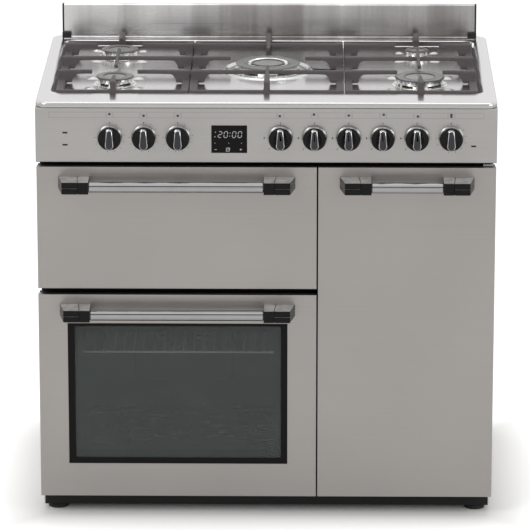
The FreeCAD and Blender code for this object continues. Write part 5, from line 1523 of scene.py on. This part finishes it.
def whiteSky():
    world = bpy.data.worlds.new("studio")
    scene.world = world
    world.use_nodes = True
    tree = world.node_tree
    tree.nodes.clear()
    out = tree.nodes.new("ShaderNodeOutputWorld")
    plain, seen = tree.nodes.new("ShaderNodeBackground"), tree.nodes.new("ShaderNodeBackground")
    plain.inputs["Color"].default_value = (1.0, 0.995, 0.985, 1.0)
    plain.inputs["Strength"].default_value = studio["ambient"]
    seen.inputs["Strength"].default_value = 1.0
    seen.inputs["Color"].default_value = (1.0, 1.0, 1.0, 1.0)
    # metal sees the white room, with a dark band on the side that the camera looks from
    coords, split = tree.nodes.new("ShaderNodeTexCoord"), tree.nodes.new("ShaderNodeSeparateXYZ")
    tree.links.new(coords.outputs["Generated"], split.inputs[0])
    ramp = tree.nodes.new("ShaderNodeValToRGB")
    stops = studio["skyTones"]
    while len(ramp.color_ramp.elements) < len(stops):
        ramp.color_ramp.elements.new(0.5)
    for element, (spot, tone) in zip(ramp.color_ramp.elements, stops):
        element.position, element.color = spot, (tone, tone, tone, 1.0)
    tree.links.new(split.outputs["Z"], ramp.inputs[0])
    path = tree.nodes.new("ShaderNodeLightPath")
    ahead = calc(tree, "MULTIPLY", rangeOf(tree, split.outputs["Y"], 0.05, -0.3, 0.0, 1.0),
                 path.outputs["Is Glossy Ray"])
    darker = calc(tree, "MULTIPLY", ahead, calc(tree, "SUBTRACT", ramp.outputs[0], 1.0))
    tree.links.new(calc(tree, "ADD", 1.0, darker), seen.inputs["Strength"])
    either = calc(tree, "MAXIMUM", path.outputs["Is Camera Ray"],
                  calc(tree, "MAXIMUM", path.outputs["Is Glossy Ray"], path.outputs["Is Transmission Ray"]))
    mix = tree.nodes.new("ShaderNodeMixShader")
    tree.links.new(either, mix.inputs[0])
    tree.links.new(plain.outputs[0], mix.inputs[1])
    tree.links.new(seen.outputs[0], mix.inputs[2])
    tree.links.new(mix.outputs[0], out.inputs[0])


def paleFloor():
    mesh = bpy.data.meshes.new("floor")
    size = studio["floorHalf"]
    mesh.from_pydata([(-size, -size, 0), (size, -size, 0), (size, size, 0), (-size, size, 0)], [], [(0, 1, 2, 3)])
    floor = bpy.data.objects.new("floor", mesh)
    scene.collection.objects.link(floor)
    material, tree, shader = blank("floorPaint")
    shader.inputs["Base Color"].default_value = (*studio["floor"], 1.0)
    shader.inputs["Roughness"].default_value = 0.9
    shader.inputs["Specular IOR Level"].default_value = 0.1
    shader.inputs["Emission Color"].default_value = (1.0, 1.0, 1.0, 1.0)
    # the background is white, and close by the floor keeps the object's shadow
    path = tree.nodes.new("ShaderNodeLightPath")
    seen = calc(tree, "MAXIMUM", path.outputs["Is Camera Ray"], path.outputs["Is Transmission Ray"])
    coords, split = tree.nodes.new("ShaderNodeTexCoord"), tree.nodes.new("ShaderNodeSeparateXYZ")
    tree.links.new(coords.outputs["Object"], split.inputs[0])
    halfX, halfY = studio["footprint"]
    aside = calc(tree, "SUBTRACT", calc(tree, "ABSOLUTE", split.outputs["X"], 0.0), halfX)
    ahead = calc(tree, "SUBTRACT", calc(tree, "ABSOLUTE", split.outputs["Y"], 0.0), halfY)
    reach, low, high = studio["glow"]
    glow = rangeOf(tree, calc(tree, "MAXIMUM", aside, ahead), 0.0, reach, low, high)
    tree.links.new(calc(tree, "MULTIPLY", seen, glow), shader.inputs["Emission Strength"])
    mesh.materials.append(material)


def softLamp(name, where, target, size, power):
    data = bpy.data.lights.new(name, "AREA")
    data.shape = "RECTANGLE"
    data.size, data.size_y = size
    data.energy = power
    data.color = (1.0, 0.99, 0.975)
    lamp = bpy.data.objects.new(name, data)
    lamp.location = where
    lamp.rotation_mode = "QUATERNION"
    lamp.rotation_quaternion = (Vector(target) - Vector(where)).to_track_quat("-Z", "Y")
    scene.collection.objects.link(lamp)


def lookFrom():
    data = bpy.data.cameras.new("camera")
    camera = bpy.data.objects.new("camera", data)
    scene.collection.objects.link(camera)
    data.lens, data.sensor_width = view["lens"], 36.0
    data.clip_start, data.clip_end = 0.1, 60.0
    camera.location = view["place"]
    camera.rotation_euler = (math.radians(90 - view["pitch"]), 0.0, math.radians(-view["yaw"]))
    scene.camera = camera


whiteSky()
paleFloor()
for name, settings in softLamps.items():
    softLamp(name, *settings)
lookFrom()
print("studio made")
